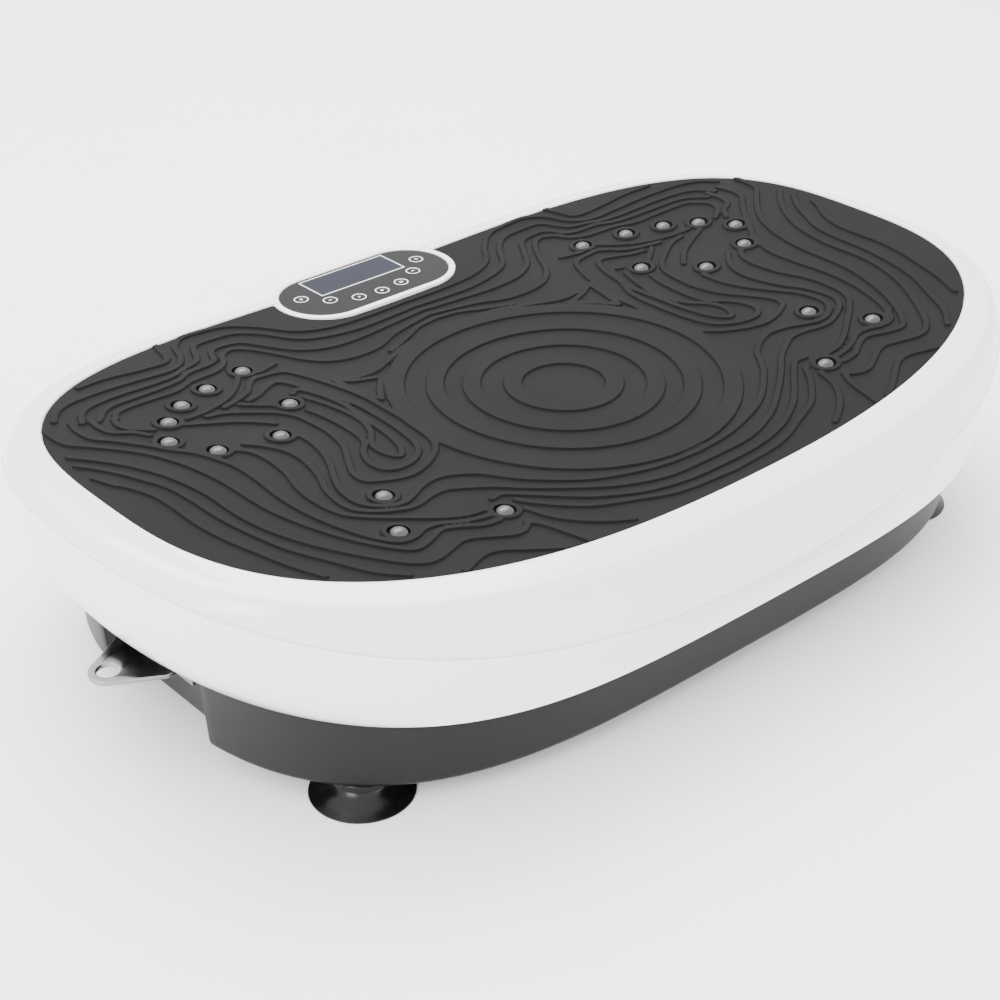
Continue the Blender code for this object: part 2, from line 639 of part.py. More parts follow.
def build_rods():
    """Connecting rods: a big end on the journal and a wide bushed eye round the deck's pin."""
    for side, label in ((-1, "left"), (1, "right")):
        y = CRANK_Y - side * CRANK_THROW
        x0, x1 = side * CRANK_X - 0.008, side * CRANK_X + 0.008
        big = rod(f"conrod_{label}", "bearing", 0.0210, (x0, y, CRANK_Z), (x1, y, CRANK_Z))
        eye = as_cutter(rod(f"rod_eye_{label}", "bearing", 0.0160, (x0, y, PIVOT_Z),
                            (x1, y, PIVOT_Z)))
        web = as_cutter(box(f"rod_web_{label}", "bearing", (x0 + 0.002, y - 0.0090, CRANK_Z + 0.005),
                            (x1 - 0.002, y + 0.0090, PIVOT_Z - 0.005)))
        low = as_cutter(rod(f"rod_bore_{label}", "bearing", ROD_BORE, (x0 - 0.01, y, CRANK_Z),
                            (x1 + 0.01, y, CRANK_Z)))
        top = as_cutter(rod(f"rod_eye_bore_{label}", "bearing", ROD_EYE_BORE,
                            (x0 - 0.01, y, PIVOT_Z), (x1 + 0.01, y, PIVOT_Z)))
        boolean(big, web, "UNION")
        boolean(big, eye, "UNION")
        boolean(big, low)
        boolean(big, top)


def belt_outline(small, big):
    """Loop round both pulleys: two arcs joined by their outer tangents."""
    span = math.dist((MOTOR_Y, MOTOR_Z), (CRANK_Y, CRANK_Z))
    lean = math.atan2(CRANK_Z - MOTOR_Z, CRANK_Y - MOTOR_Y)
    wrap = math.acos((small - big) / span)
    points = []
    for i in range(15):
        turn = lean + wrap + (2 * math.pi - 2 * wrap) * i / 14
        points.append((MOTOR_Y + small * math.cos(turn), MOTOR_Z + small * math.sin(turn)))
    for i in range(19):
        turn = lean - wrap + 2 * wrap * i / 18
        points.append((CRANK_Y + big * math.cos(turn), CRANK_Z + big * math.sin(turn)))
    return points


def build_belt():
    inner = belt_outline(SMALL_PULLEY + 0.0006, BIG_PULLEY + 0.0006)
    outer = belt_outline(SMALL_PULLEY + 0.0006 + BELT_THICK, BIG_PULLEY + 0.0006 + BELT_THICK)
    belt = flat("drive_belt", "belt", [outer, inner], -BELT_WIDTH / 2, BELT_WIDTH / 2)
    belt.rotation_euler = (math.pi / 2, 0, math.pi / 2)
    belt.location = (PULLEY_X, 0, 0)


def build_pivot():
    """Fixed rocking shaft on two upright brackets."""
    rod("pivot_shaft", "steel", PIVOT_RADIUS, (0, -PIVOT_HALF_LENGTH, PIVOT_Z),
        (0, PIVOT_HALF_LENGTH, PIVOT_Z))
    for side, label in ((-1, "front"), (1, "rear")):
        y = side * 0.1180
        upright = box(f"pivot_bracket_{label}", "steel", (-0.0300, y - 0.0050, CHASSIS_TOP + CLEAR),
                      (0.0300, y + 0.0050, PIVOT_Z + 0.0160))
        base = as_cutter(box(f"bracket_foot_{label}", "steel",
                             (-0.0300, min(y, y - side * 0.030), CHASSIS_TOP + CLEAR),
                             (0.0300, max(y, y - side * 0.030), CHASSIS_TOP + 0.0040)))
        hole = as_cutter(rod(f"bracket_hole_{label}", "steel", PIVOT_BORE, (0, y - 0.02, PIVOT_Z),
                             (0, y + 0.02, PIVOT_Z)))
        boolean(upright, base, "UNION")
        boolean(upright, hole)


def build_deck_frame():
    """Steel frame screwed under the shell: it hangs on the shaft and carries the rod pins."""
    frame = box("deck_frame", "steel", (-0.2150, -0.1500, 0.1225), (0.2150, 0.1280, 0.1255))
    for i, side in enumerate((-1, 1)):
        y = 0.1380 * side if side < 0 else 0.1060
        lug = as_cutter(box(f"pivot_lug_{i}", "steel", (-0.0200, y - 0.0060, PIVOT_Z - 0.0150),
                            (0.0200, y + 0.0060, 0.1230)))
        boolean(frame, lug, "UNION")
        for j, gap in enumerate((-0.0150, 0.0150)):
            x = side * CRANK_X + gap
            ear = as_cutter(box(f"pin_ear_{i}{j}", "steel", (x - 0.0030, -0.0120, PIVOT_Z - 0.0110),
                                (x + 0.0030, 0.0120, 0.1230)))
            boolean(frame, ear, "UNION")
        pin = as_cutter(rod(f"rod_pin_{i}", "steel", PIN_RADIUS,
                            (side * CRANK_X - 0.0170, 0, PIVOT_Z),
                            (side * CRANK_X + 0.0170, 0, PIVOT_Z), 16))
        boolean(frame, pin, "UNION")
        window = as_cutter(box(f"rod_window_{i}", "steel", (side * CRANK_X - 0.0110, -0.0180, 0.120),
                               (side * CRANK_X + 0.0110, 0.0180, 0.130)))
        boolean(frame, window)
    bore = as_cutter(rod("frame_bore", "steel", PIVOT_BORE, (0, -0.16, PIVOT_Z), (0, 0.16, PIVOT_Z)))
    boolean(frame, bore)


def build_driver_board():
    """Motor driver: a circuit board with its heat sink and capacitors."""
    low = CHASSIS_TOP + 0.0080
    board = box("driver_board", "board", (0.0500, 0.0400, low), (0.1350, 0.1050, low + 0.0016))
    blocks = (((0.0560, 0.0460), (0.0720, 0.0980), 0.0220), ((0.0850, 0.0500), (0.1020, 0.0670), 0.0180),
              ((0.0850, 0.0760), (0.1020, 0.0930), 0.0180), ((0.1120, 0.0500), (0.1280, 0.0950), 0.0100))
    for i, (near, far, tall) in enumerate(blocks):
        lump = as_cutter(box(f"board_part_{i}", "board", (*near, low + 0.0010),
                             (*far, low + 0.0016 + tall)))
        boolean(board, lump, "UNION")


clear_scene()
PARTS = new_collection("vibration_plate")
CUTTERS = new_collection("vibration_plate_cutters")
build_deck_shell()
build_mat()
build_studs()
build_panel()
build_tray()
build_feet()
build_eyelets()
build_inlet()
build_motor()
build_crank()
build_rods()
build_belt()
build_pivot()
build_deck_frame()
build_driver_board()
for part in PARTS.objects:
    if part.modifiers or len(part.data.polygons) > 12:
        part.data.shade_smooth()
        part.data.set_sharp_from_angle(angle=math.radians(35))
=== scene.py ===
# %% [markdown]
# # Vibration plate
#
# A rocking fitness plate seen from its front left: a white moulded deck with a black rubber mat,
# massage studs and a control panel, on a dark fixed base with four suction feet. Behind the shell
# an eccentric shaft and two connecting rods rock the deck about a shaft that runs front to back.
#
# The engineering model is loaded first and never moved. The cells below put finished skins over
# the parts that are seen, and give every part a surface worked out from nodes.

# %% Load the fixed frame
import math

import bmesh
import bpy
import numpy as np
from mathutils import Matrix, Vector


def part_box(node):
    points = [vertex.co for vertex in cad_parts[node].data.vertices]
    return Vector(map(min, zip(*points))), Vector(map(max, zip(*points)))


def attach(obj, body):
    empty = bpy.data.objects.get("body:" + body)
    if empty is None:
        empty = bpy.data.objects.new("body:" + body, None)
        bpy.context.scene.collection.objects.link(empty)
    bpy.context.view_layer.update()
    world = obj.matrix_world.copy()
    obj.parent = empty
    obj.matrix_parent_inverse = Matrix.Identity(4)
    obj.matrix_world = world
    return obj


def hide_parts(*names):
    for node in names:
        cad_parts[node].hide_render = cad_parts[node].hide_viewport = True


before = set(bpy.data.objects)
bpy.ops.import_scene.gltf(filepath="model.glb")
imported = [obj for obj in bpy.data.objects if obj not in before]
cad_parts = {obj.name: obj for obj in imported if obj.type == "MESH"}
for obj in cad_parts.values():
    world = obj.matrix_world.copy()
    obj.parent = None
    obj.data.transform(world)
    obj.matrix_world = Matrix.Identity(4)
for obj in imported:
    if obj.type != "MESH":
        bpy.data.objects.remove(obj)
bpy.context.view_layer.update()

# %% [markdown]
# ## Measures that every piece shares
#
# The deck is dished: it rises from its middle to both ends along one curve. The mat, the shell
# and the studs all follow that curve, so it is written once. The heights come from the frame:
# the mat's lowest top point is the datum of the whole deck.

# %% Deck datum and dish
mat_low, mat_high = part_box("rubber_mat")
MAT_THICK = 0.0040
MAT_HALF = (mat_high.x, -mat_low.y)
MAT_POWERS = (2.95, 2.95)
DECK_Z = mat_low.z + MAT_THICK
DISH_RISE = 0.0231


def dish(x):
    """Height that the deck gains towards its ends."""
    t = x / MAT_HALF[0]
    return DISH_RISE * (1.146 * t * t - 0.146 * t ** 4)


print(f"deck datum {1000 * DECK_Z:.1f} mm, mat {2000 * MAT_HALF[0]:.1f} x {2000 * MAT_HALF[1]:.1f} mm")

# %% [markdown]
# ## Hands for modelling
#
# These few helpers do what a hand does in the modelling window: clear the selection, take a
# piece into edit mode, pick faces by where they are, and apply a modifier. The loft helper draws
# one closed loop and pulls it through a row of outlines, one extrusion after another. A carved
# block could give the same hull, but pulled loops keep the long highlights smooth.

# %% Selection and edit helpers
def clear():
    if bpy.context.object and bpy.context.object.mode != "OBJECT":
        bpy.ops.object.mode_set(mode="OBJECT")
    bpy.ops.object.select_all(action="DESELECT")


def take(piece):
    clear()
    piece.select_set(True)
    bpy.context.view_layer.objects.active = piece
    return piece


def named(name):
    piece = bpy.context.active_object
    piece.name = piece.data.name = name
    bpy.ops.object.transform_apply(location=True, rotation=True, scale=True)
    return piece


def edit(piece):
    take(piece)
    bpy.ops.object.mode_set(mode="EDIT")
    bpy.ops.mesh.select_mode(type="VERT")
    bpy.ops.mesh.select_all(action="DESELECT")
    return bmesh.from_edit_mesh(piece.data)


def pick(piece, wanted):
    """Selects the faces of the piece in edit mode that pass the test, and counts them."""
    mesh = bmesh.from_edit_mesh(piece.data)
    bpy.ops.mesh.select_mode(type="FACE")
    bpy.ops.mesh.select_all(action="DESELECT")
    chosen = [face for face in mesh.faces if wanted(face)]
    for face in chosen:
        face.select_set(True)
    bmesh.update_edit_mesh(piece.data)
    return len(chosen)


def modify(piece, kind, **settings):
    take(piece)
    step = piece.modifiers.new(kind.title(), kind)
    for key, value in settings.items():
        setattr(step, key, value)
    bpy.ops.object.modifier_apply(modifier=step.name)
    return piece


def tidy_skin(piece, angle=35):
    """Merges doubles, points the faces outwards and shades smooth up to an angle."""
    edit(piece)
    bpy.ops.mesh.select_all(action="SELECT")
    bpy.ops.mesh.remove_doubles(threshold=0.000005)
    bpy.ops.mesh.normals_make_consistent(inside=False)
    if bmesh.from_edit_mesh(piece.data).calc_volume(signed=True) < 0:
        bpy.ops.mesh.flip_normals()
    bpy.ops.object.mode_set(mode="OBJECT")
    bpy.ops.object.shade_smooth_by_angle(angle=math.radians(angle))
    return piece


def cut(piece, tool, solver="EXACT"):
    """Takes the tool out of the piece."""
    modify(piece, "BOOLEAN", object=tool, operation="DIFFERENCE", solver=solver)
    bpy.data.objects.remove(tool, do_unlink=True)
    return piece


# %% Loft helper
def loft(name, rings, caps="flat"):
    """Pulls a closed loop through the rings by extrusion, and closes its two ends."""
    clear()
    bpy.ops.mesh.primitive_circle_add(vertices=len(rings[0]), radius=1.0, fill_type="NOTHING")
    piece = named(name)
    for vert, spot in zip(piece.data.vertices, rings[0]):
        vert.co = spot
    mesh = edit(piece)
    for layer in ("spot", "row"):
        mesh.verts.layers.int.new(layer)
    spot_of = mesh.verts.layers.int["spot"]
    for i, vert in enumerate(sorted(mesh.verts, key=lambda v: v.index)):
        vert[spot_of] = i
    bpy.ops.mesh.select_all(action="SELECT")
    for row, ring in enumerate(rings[1:], 1):
        bpy.ops.mesh.extrude_region_move()
        mesh = bmesh.from_edit_mesh(piece.data)
        spot_of, row_of = mesh.verts.layers.int["spot"], mesh.verts.layers.int["row"]
        for vert in mesh.verts:
            if vert.select:
                vert.co = ring[vert[spot_of]]
                vert[row_of] = row
    if caps:
        close_ends(mesh, spot_of, row_of, len(rings) - 1, caps)
    bmesh.update_edit_mesh(piece.data)
    bpy.ops.object.mode_set(mode="OBJECT")
    return tidy_skin(piece)


def close_ends(mesh, spot_of, row_of, last, caps):
    """Closes both ends with one flat face, or with strips across the deck that follow its dish."""
    for row in (0, last):
        loop = sorted((v for v in mesh.verts if v[row_of] == row), key=lambda v: v[spot_of])
        if caps == "flat":
            mesh.faces.new(loop)
            continue
        count = len(loop)
        for i in range(count // 2):
            far = -i % count
            strip = (loop[i], loop[i + 1], loop[(far - 1) % count], loop[far])
            mesh.faces.new(list(dict.fromkeys(strip)))


def ride(piece, body, *stands_for, slot=None):
    """Hands a finished piece to its body and hides the CAD nodes it stands for."""
    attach(piece, body)
    if stands_for:
        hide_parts(*stands_for)
    print(f"{piece.name}: {len(piece.data.polygons)} faces on {body}")
    return piece


# %% [markdown]
# ## Surfaces from nodes
#
# A finish is a small recipe: where on the object a point is, some noise at the right scale, and
# sums on that noise. The Wire class wraps one socket and turns Python sums into Math nodes, so a
# recipe reads like the formula it is. Colours are mixed with Mix nodes, because a Math node would
# turn them grey.

# %% Shader helpers
class Wire:
    """One output socket that can be added, multiplied and so on."""

    def __init__(self, recipe, socket):
        self.recipe, self.socket = recipe, socket

    def sum(self, operation, first, second, clamp=False):
        return self.recipe.node("ShaderNodeMath", {0: first, 1: second},
                                {"operation": operation, "use_clamp": clamp})

    def __add__(self, other):
        return self.sum("ADD", self, other)

    def __sub__(self, other):
        return self.sum("SUBTRACT", self, other)

    def __mul__(self, other):
        return self.sum("MULTIPLY", self, other)

    def __rsub__(self, other):
        return self.sum("SUBTRACT", other, self)

    __radd__ = __add__
    __rmul__ = __mul__

    def clamped(self):
        return self.sum("ADD", self, 0.0, clamp=True)

    def above(self, level, soft):
        """0 below the level and 1 above it, with a ramp this wide."""
        return self.sum("MULTIPLY", self - level + soft / 2, 1 / soft, clamp=True)


class Finish:
    """A material with one Principled shader and a recipe on object coordinates."""

    def __init__(self, name, **uniform):
        self.material = bpy.data.materials.new(name)
        self.material.use_nodes = True
        self.tree = self.material.node_tree
        self.shader = self.tree.nodes["Principled BSDF"]
        for key, value in uniform.items():
            self.shader.inputs[key.replace("_", " ")].default_value = value
        self.place = self.node("ShaderNodeTexCoord", out="Object")

    def node(self, kind, inputs=None, settings=None, out=0):
        made = self.tree.nodes.new(kind)
        for key, value in (settings or {}).items():
            setattr(made, key, value)
        for key, value in (inputs or {}).items():
            if isinstance(value, Wire):
                self.tree.links.new(value.socket, made.inputs[key])
            else:
                made.inputs[key].default_value = value
        return Wire(self, made.outputs[out])

    def noise(self, scale, detail=2.0, stretch=None, rough=0.5):
        place = self.place
        if stretch:
            place = self.node("ShaderNodeMapping", {"Vector": place, "Scale": stretch})
        return self.node("ShaderNodeTexNoise", {"Vector": place, "Scale": scale,
                                                "Detail": detail, "Roughness": rough})

    def tint(self, share, low, high):
        """Colour that runs from low to high with the share."""
        return self.node("ShaderNodeMix", {0: share, 6: (*low, 1.0), 7: (*high, 1.0)},
                         {"data_type": "RGBA"}, out=2)

    def set(self, **wires):
        for key, wire in wires.items():
            self.tree.links.new(wire.socket, self.shader.inputs[key.replace("_", " ")])
        return self

    def bump(self, height, depth, strength=1.0):
        self.set(Normal=self.node("ShaderNodeBump", {"Height": height, "Distance": depth,
                                                     "Strength": strength}))
        return self

    def on(self, *pieces):
        for piece in pieces:
            piece.data.materials.clear()
            piece.data.materials.append(self.material)
        return self


# %% [markdown]
# ## White gloss plastic
#
# The shell is injection-moulded ABS with a high gloss. Two mouldings meet at the thin parting
# line. The upper one is a touch warmer in tone and is painted a little darker as shade, and the
# lower one is painted brighter as light, so the two facets carry painted light and shade. Real
# gloss plastic is never perfectly flat: it has a faint orange peel, soft flow clouds and
# hair-fine handling marks, so colour, roughness and normal each get their own small noise.

# %% White shell finishes
def gloss_white(name, low, high):
    made = Finish(name, Coat_Weight=0.55, Coat_Roughness=0.06, IOR=1.49)
    clouds = made.noise(9.0, 2.0)
    speck = made.noise(2200.0, 2.0)
    marks = made.noise(60.0, 4.0, stretch=(1.0, 14.0, 6.0), rough=0.7)
    made.set(Base_Color=made.tint((clouds * 0.8 + speck * 0.2).clamped(), low, high))
    made.set(Roughness=(0.17 + marks.above(0.55, 0.3) * 0.08 + speck * 0.04))
    return made.bump(made.noise(420.0, 2.0) * 0.6 + clouds * 0.4, 0.00012)


# Lit and shaded copies of one white: the upper copy is warmer in tone and painted a little darker as shade,
# the lower copy is painted brighter as light.
shaded_warm_white = gloss_white("shaded_warm_gloss_white", (0.79, 0.77, 0.72), (0.85, 0.83, 0.785))
lit_neutral_white = gloss_white("lit_neutral_gloss_white", (0.82, 0.82, 0.815), (0.88, 0.88, 0.875))
print("made", shaded_warm_white.material.name, "and", lit_neutral_white.material.name)

# %% [markdown]
# ## Rubber, satin plastic and metal
#
# The mat is a matte charcoal rubber with a fine powdery grain that catches light on the ridges.
# The base is satin black plastic with a spark-eroded grain, the feet are a softer, shinier black
# rubber, and the metal parts are brushed, plated or plain rolled steel. Each one differs in the
# scale and stretch of its noise more than in its colour.

# %% Dark finishes
mat_rubber = Finish("mat_rubber", Specular_IOR_Level=0.06)
grain, wear = mat_rubber.noise(1500.0, 3.0), mat_rubber.noise(14.0, 3.0)
mat_rubber.set(Base_Color=mat_rubber.tint((wear * 0.6 + grain * 0.4).clamped(),
                                          (0.0035, 0.0035, 0.0037), (0.0075, 0.0075, 0.0077)),
               Roughness=0.52 + wear.above(0.5, 0.4) * 0.08 + grain * 0.10)
mat_rubber.bump(grain, 0.00010)

satin_black = Finish("satin_black_plastic", Specular_IOR_Level=0.20)
grain, cloud = satin_black.noise(1900.0, 2.0), satin_black.noise(7.0, 2.0)
satin_black.set(Base_Color=satin_black.tint(cloud, (0.0050, 0.0052, 0.0056), (0.0085, 0.0088, 0.0094)),
                Roughness=0.30 + grain * 0.12 + cloud * 0.06)
satin_black.bump(grain, 0.00006)

foot_rubber = Finish("foot_rubber", Specular_IOR_Level=0.25, Coat_Weight=0.05,
                     Coat_Roughness=0.12)
grain, dust = foot_rubber.noise(900.0, 2.0), foot_rubber.noise(90.0, 3.0)
foot_rubber.set(Base_Color=foot_rubber.tint(dust.above(0.55, 0.5), (0.0015, 0.0015, 0.0017),
                                            (0.0040, 0.0040, 0.0042)),
                Roughness=0.16 + dust * 0.12 + grain * 0.05)
foot_rubber.bump(grain, 0.00004)

cable_black = Finish("soft_belt_rubber")
grain, wear = cable_black.noise(1200.0, 3.0), cable_black.noise(40.0, 3.0)
cable_black.set(Base_Color=cable_black.tint(wear, (0.012, 0.012, 0.012), (0.03, 0.03, 0.03)),
                Roughness=0.6 + grain * 0.2)
cable_black.bump(grain, 0.00010)
print("dark finishes:", [m.material.name for m in (mat_rubber, satin_black, foot_rubber)])

# %% Metal finishes
def steel(name, low, high, rough, stretch, scale=700.0, depth=0.00004):
    made = Finish(name, Metallic=1.0)
    brush = made.noise(scale, 3.0, stretch=stretch, rough=0.7)
    stain = made.noise(30.0, 3.0)
    made.set(Base_Color=made.tint((brush * 0.5 + stain * 0.5).clamped(), low, high),
             Roughness=rough + brush * 0.14 + stain.above(0.55, 0.3) * 0.06)
    return made.bump(brush, depth)


stud_steel = steel("brushed_stud_steel", (0.055, 0.055, 0.058), (0.10, 0.10, 0.104), 0.26,
                   (1.0, 6.0, 1.0), 900.0)
plated_steel = steel("plated_steel", (0.22, 0.22, 0.225), (0.34, 0.34, 0.34), 0.14,
                     (1.0, 1.0, 1.0), 300.0, 0.00002)
rolled_steel = steel("rolled_steel", (0.34, 0.34, 0.35), (0.50, 0.50, 0.51), 0.30,
                     (12.0, 1.0, 1.0))
cast_steel = steel("cast_bearing_steel", (0.20, 0.20, 0.21), (0.32, 0.32, 0.33), 0.40,
                   (1.0, 1.0, 1.0), 500.0, 0.00015)
motor_shell = steel("motor_shell_steel", (0.09, 0.10, 0.11), (0.16, 0.17, 0.18), 0.32,
                    (1.0, 1.0, 1.0), 800.0, 0.00008)
print("metal finishes:", [m.material.name for m in (stud_steel, plated_steel, rolled_steel)])

# %% [markdown]
# ## Deck shell
#
# The shell is a shallow moulded hull. Its widest line is a crease that sweeps up at both ends
# like a boat's sheer. Above it a soft shoulder climbs to the mat, and below it a slightly swelled
# facet tucks in to a lower edge. Each level line is a superellipse, so the hull is a loft through
# level lines. A box with a subdivision surface would drift away from these exact outlines.

# %% Outlines of the hull
HULL_POINTS = 240
CREASE_HALF, CREASE_POWERS = (0.3366, 0.2151), (3.04, 2.46)
CREASE = (-0.0480, 1.99, 0.0081)          # height, share of the dish, extra lift at the ends
RIM_HALF, RIM = (0.3165, 0.2025), (-0.0043, 1.0, 0.0)
SKIRT_HALF, SKIRT_POWERS = (0.3095, 0.2088), (4.20, 1.95)
SKIRT = (-0.0731, 0.34, 0.0)
BELLY = (0.0091, -0.0024)
SHOULDER_FALL, BELLY_LOW = 2.24, 1.35
WALL = 0.0030


def superellipse(half, powers, count=HULL_POINTS):
    """Evenly spaced points of |x/a|^n + |y/b|^m = 1, anticlockwise from +X."""
    turn = np.linspace(0, math.pi / 2, 2001)
    quarter = np.stack([half[0] * np.maximum(np.cos(turn), 0) ** (2 / powers[0]),
                        half[1] * np.sin(turn) ** (2 / powers[1])], 1)
    run = np.concatenate([[0], np.cumsum(np.hypot(*np.diff(quarter, axis=0).T))])
    goal = np.linspace(0, run[-1], count // 4 + 1)
    picked = np.stack([np.interp(goal, run, quarter[:, i]) for i in (0, 1)], 1)
    upper = np.concatenate([picked, (picked * (-1, 1))[-2::-1]])
    return np.concatenate([upper, (upper * (1, -1))[-2:0:-1]])


def mix(first, second, share):
    return [a + (b - a) * share for a, b in zip(first, second)]


def level(half, powers, lift, inset=0.0, drop=0.0):
    """A level line of the hull as points in space."""
    outline = superellipse((half[0] - inset, half[1] - inset), powers)
    rise, sweep, tip = lift
    return [(x, y, DECK_Z + rise - drop + sweep * dish(x) + tip * (x / CREASE_HALF[0]) ** 6)
            for x, y in outline]


def shoulder(turn, inset=0.0, drop=0.0):
    """Level line between crease (0) and rim (1)."""
    inward = 1 - math.cos(turn * math.pi / 2)
    upward = math.sin(turn * math.pi / 2) ** SHOULDER_FALL
    return level(mix(CREASE_HALF, RIM_HALF, inward), mix(CREASE_POWERS, MAT_POWERS, upward),
                 mix(CREASE, RIM, upward), inset, drop)


def belly(share, inset=0.0, drop=0.0):
    """Level line between crease (0) and lower edge (1), swelled a little below the middle."""
    swell = math.sin(math.pi * share ** BELLY_LOW)
    half = [h + b * swell for h, b in zip(mix(CREASE_HALF, SKIRT_HALF, share), BELLY)]
    return level(half, mix(CREASE_POWERS, SKIRT_POWERS, share), mix(CREASE, SKIRT, share),
                 inset, drop)


print("level line at the crease:", len(shoulder(0)), "points")

# %% [markdown]
# The parting line is a real gap, half a millimetre deep, so light breaks on it. The rim rolls
# over into the mat seat with a small radius, and the lower edge is rounded, because a moulding
# never ends in a knife edge.

# %% Shell rings and the panel pocket
PANEL_Y, PANEL_STRAIGHT, PANEL_RADIUS, PANEL_RING = 0.1726, 0.0345, 0.0310, 0.0050
SEAT = (MAT_HALF[0] + 0.0004, MAT_HALF[1] + 0.0004)
GROOVE = 0.0009
flat_lift = (0.0, 1.0, 0.0)


def stadium(radius, z, steps=40):
    """Two half circles joined by straight lines, as a ring at one height."""
    turns = [math.pi * (i / steps - 0.5) for i in range(steps + 1)]
    right = [(PANEL_STRAIGHT + radius * math.cos(t), PANEL_Y + radius * math.sin(t), z)
             for t in turns]
    return right + [(-x, 2 * PANEL_Y - y, z) for x, y, z in right]


def shell_rings():
    seat = [level(SEAT, MAT_POWERS, flat_lift, 0.0, MAT_THICK + 0.0002),
            level(SEAT, MAT_POWERS, flat_lift, 0.0, 0.0008)]
    roll = [level((SEAT[0] + out, SEAT[1] + out), MAT_POWERS, flat_lift, 0.0, -up)
            for out, up in ((0.0003, -0.0001), (0.0009, 0.0004), (0.0018, 0.0006))]
    roll.append(level((SEAT[0] + 0.0025, SEAT[1] + 0.0055), MAT_POWERS, flat_lift, 0.0, -0.0003))
    upper = [shoulder(turn) for turn in np.linspace(1.0, 0.06, 17)]
    seam = [shoulder(0.0, 0.0, -0.0009), shoulder(0.0, GROOVE, -0.0004),
            shoulder(0.0, GROOVE, 0.0), belly(0.0, 0.0, 0.0006)]
    lower = [belly(share) for share in np.linspace(0.07, 0.985, 13)]
    edge = [belly(1.0, 0.0006), belly(1.0, WALL - 0.0006), belly(0.985, WALL)]
    inner = [belly(share, WALL) for share in (0.8, 0.6, 0.3)]
    inner += [shoulder(turn, WALL) for turn in (0.05, 0.3, 0.6, 0.85)]
    inner += [level(RIM_HALF, MAT_POWERS, flat_lift, WALL, 0.0093),
              level(SEAT, MAT_POWERS, flat_lift, WALL, MAT_THICK + 0.0032)]
    return seat, roll, upper, seam, lower, edge, inner


groups = shell_rings()
shell = loft("deck_shell_skin", [ring for group in groups for ring in group], caps="fold")
seam_row = sum(len(group) for group in groups[:3]) + 1
rows = shell.data.attributes["row"].data
# Faces above the parting line take the white with painted shade, faces below it the white with painted
# light.
shell.data.materials.append(shaded_warm_white.material)
shell.data.materials.append(lit_neutral_white.material)
for face in shell.data.polygons:
    face.material_index = int(min(rows[v].value for v in face.vertices) >= seam_row)
print(f"{len(rows)} points, parting line on ring {seam_row}")

# %% Pocket for the control panel
pocket = loft("pocket_tool", [stadium(PANEL_RADIUS + PANEL_RING, DECK_Z - 0.0200),
                              stadium(PANEL_RADIUS + PANEL_RING, DECK_Z + 0.0300)])
cut(shell, pocket, solver="FAST")
bpy.ops.object.shade_smooth_by_angle(angle=math.radians(30))
ride(shell, "deck", "deck_shell", slot="white")

# %% [markdown]
# ## Panel surround
#
# A raised white ring frames the control panel. It is part of the upper moulding and stands a
# little proud of the mat, with a rounded crown. It is lofted as a dish: up the outside, over the
# crown, down to the ledge that the panel overlay sits on, and closed across the floor.

# %% Panel surround
def surround_rings():
    outer, inner = PANEL_RADIUS + PANEL_RING - 0.0001, PANEL_RADIUS + 0.0003
    crown = 0.0016
    rings = [stadium(outer, DECK_Z - 0.0200), stadium(outer, DECK_Z + crown - 0.0012)]
    middle, half = (outer + inner) / 2, (outer - inner) / 2
    for i in range(1, 10):
        turn = math.pi * i / 10
        rings.append(stadium(middle + half * math.cos(turn) * (1 - 0.08 * math.sin(turn)),
                             DECK_Z + crown - 0.0012 + 0.0012 * math.sin(turn) ** 0.6))
    rings += [stadium(inner, DECK_Z + crown - 0.0012), stadium(inner, DECK_Z - 0.0021)]
    return rings


surround = loft("panel_surround", surround_rings())
# The surround takes the upper white, with its painted shade.
shaded_warm_white.on(surround)
ride(surround, "deck", slot="white")

# %% [markdown]
# ## Rubber mat
#
# The mat is one moulded sheet of rubber with a raised pattern: four broad rings in the middle, a
# pool of flowing ridges round each foot, and a boss round every stud. The pattern is a map of
# heights, so it is made like a map. A fine grid is laid over the deck, the distance from every
# grid point to the nearest ridge line is measured, and the grid is cut exactly where that
# distance crosses the foot and the top of a ridge wall. A displaced grid would leave saw teeth
# along the walls; cutting along the line keeps every wall crisp.

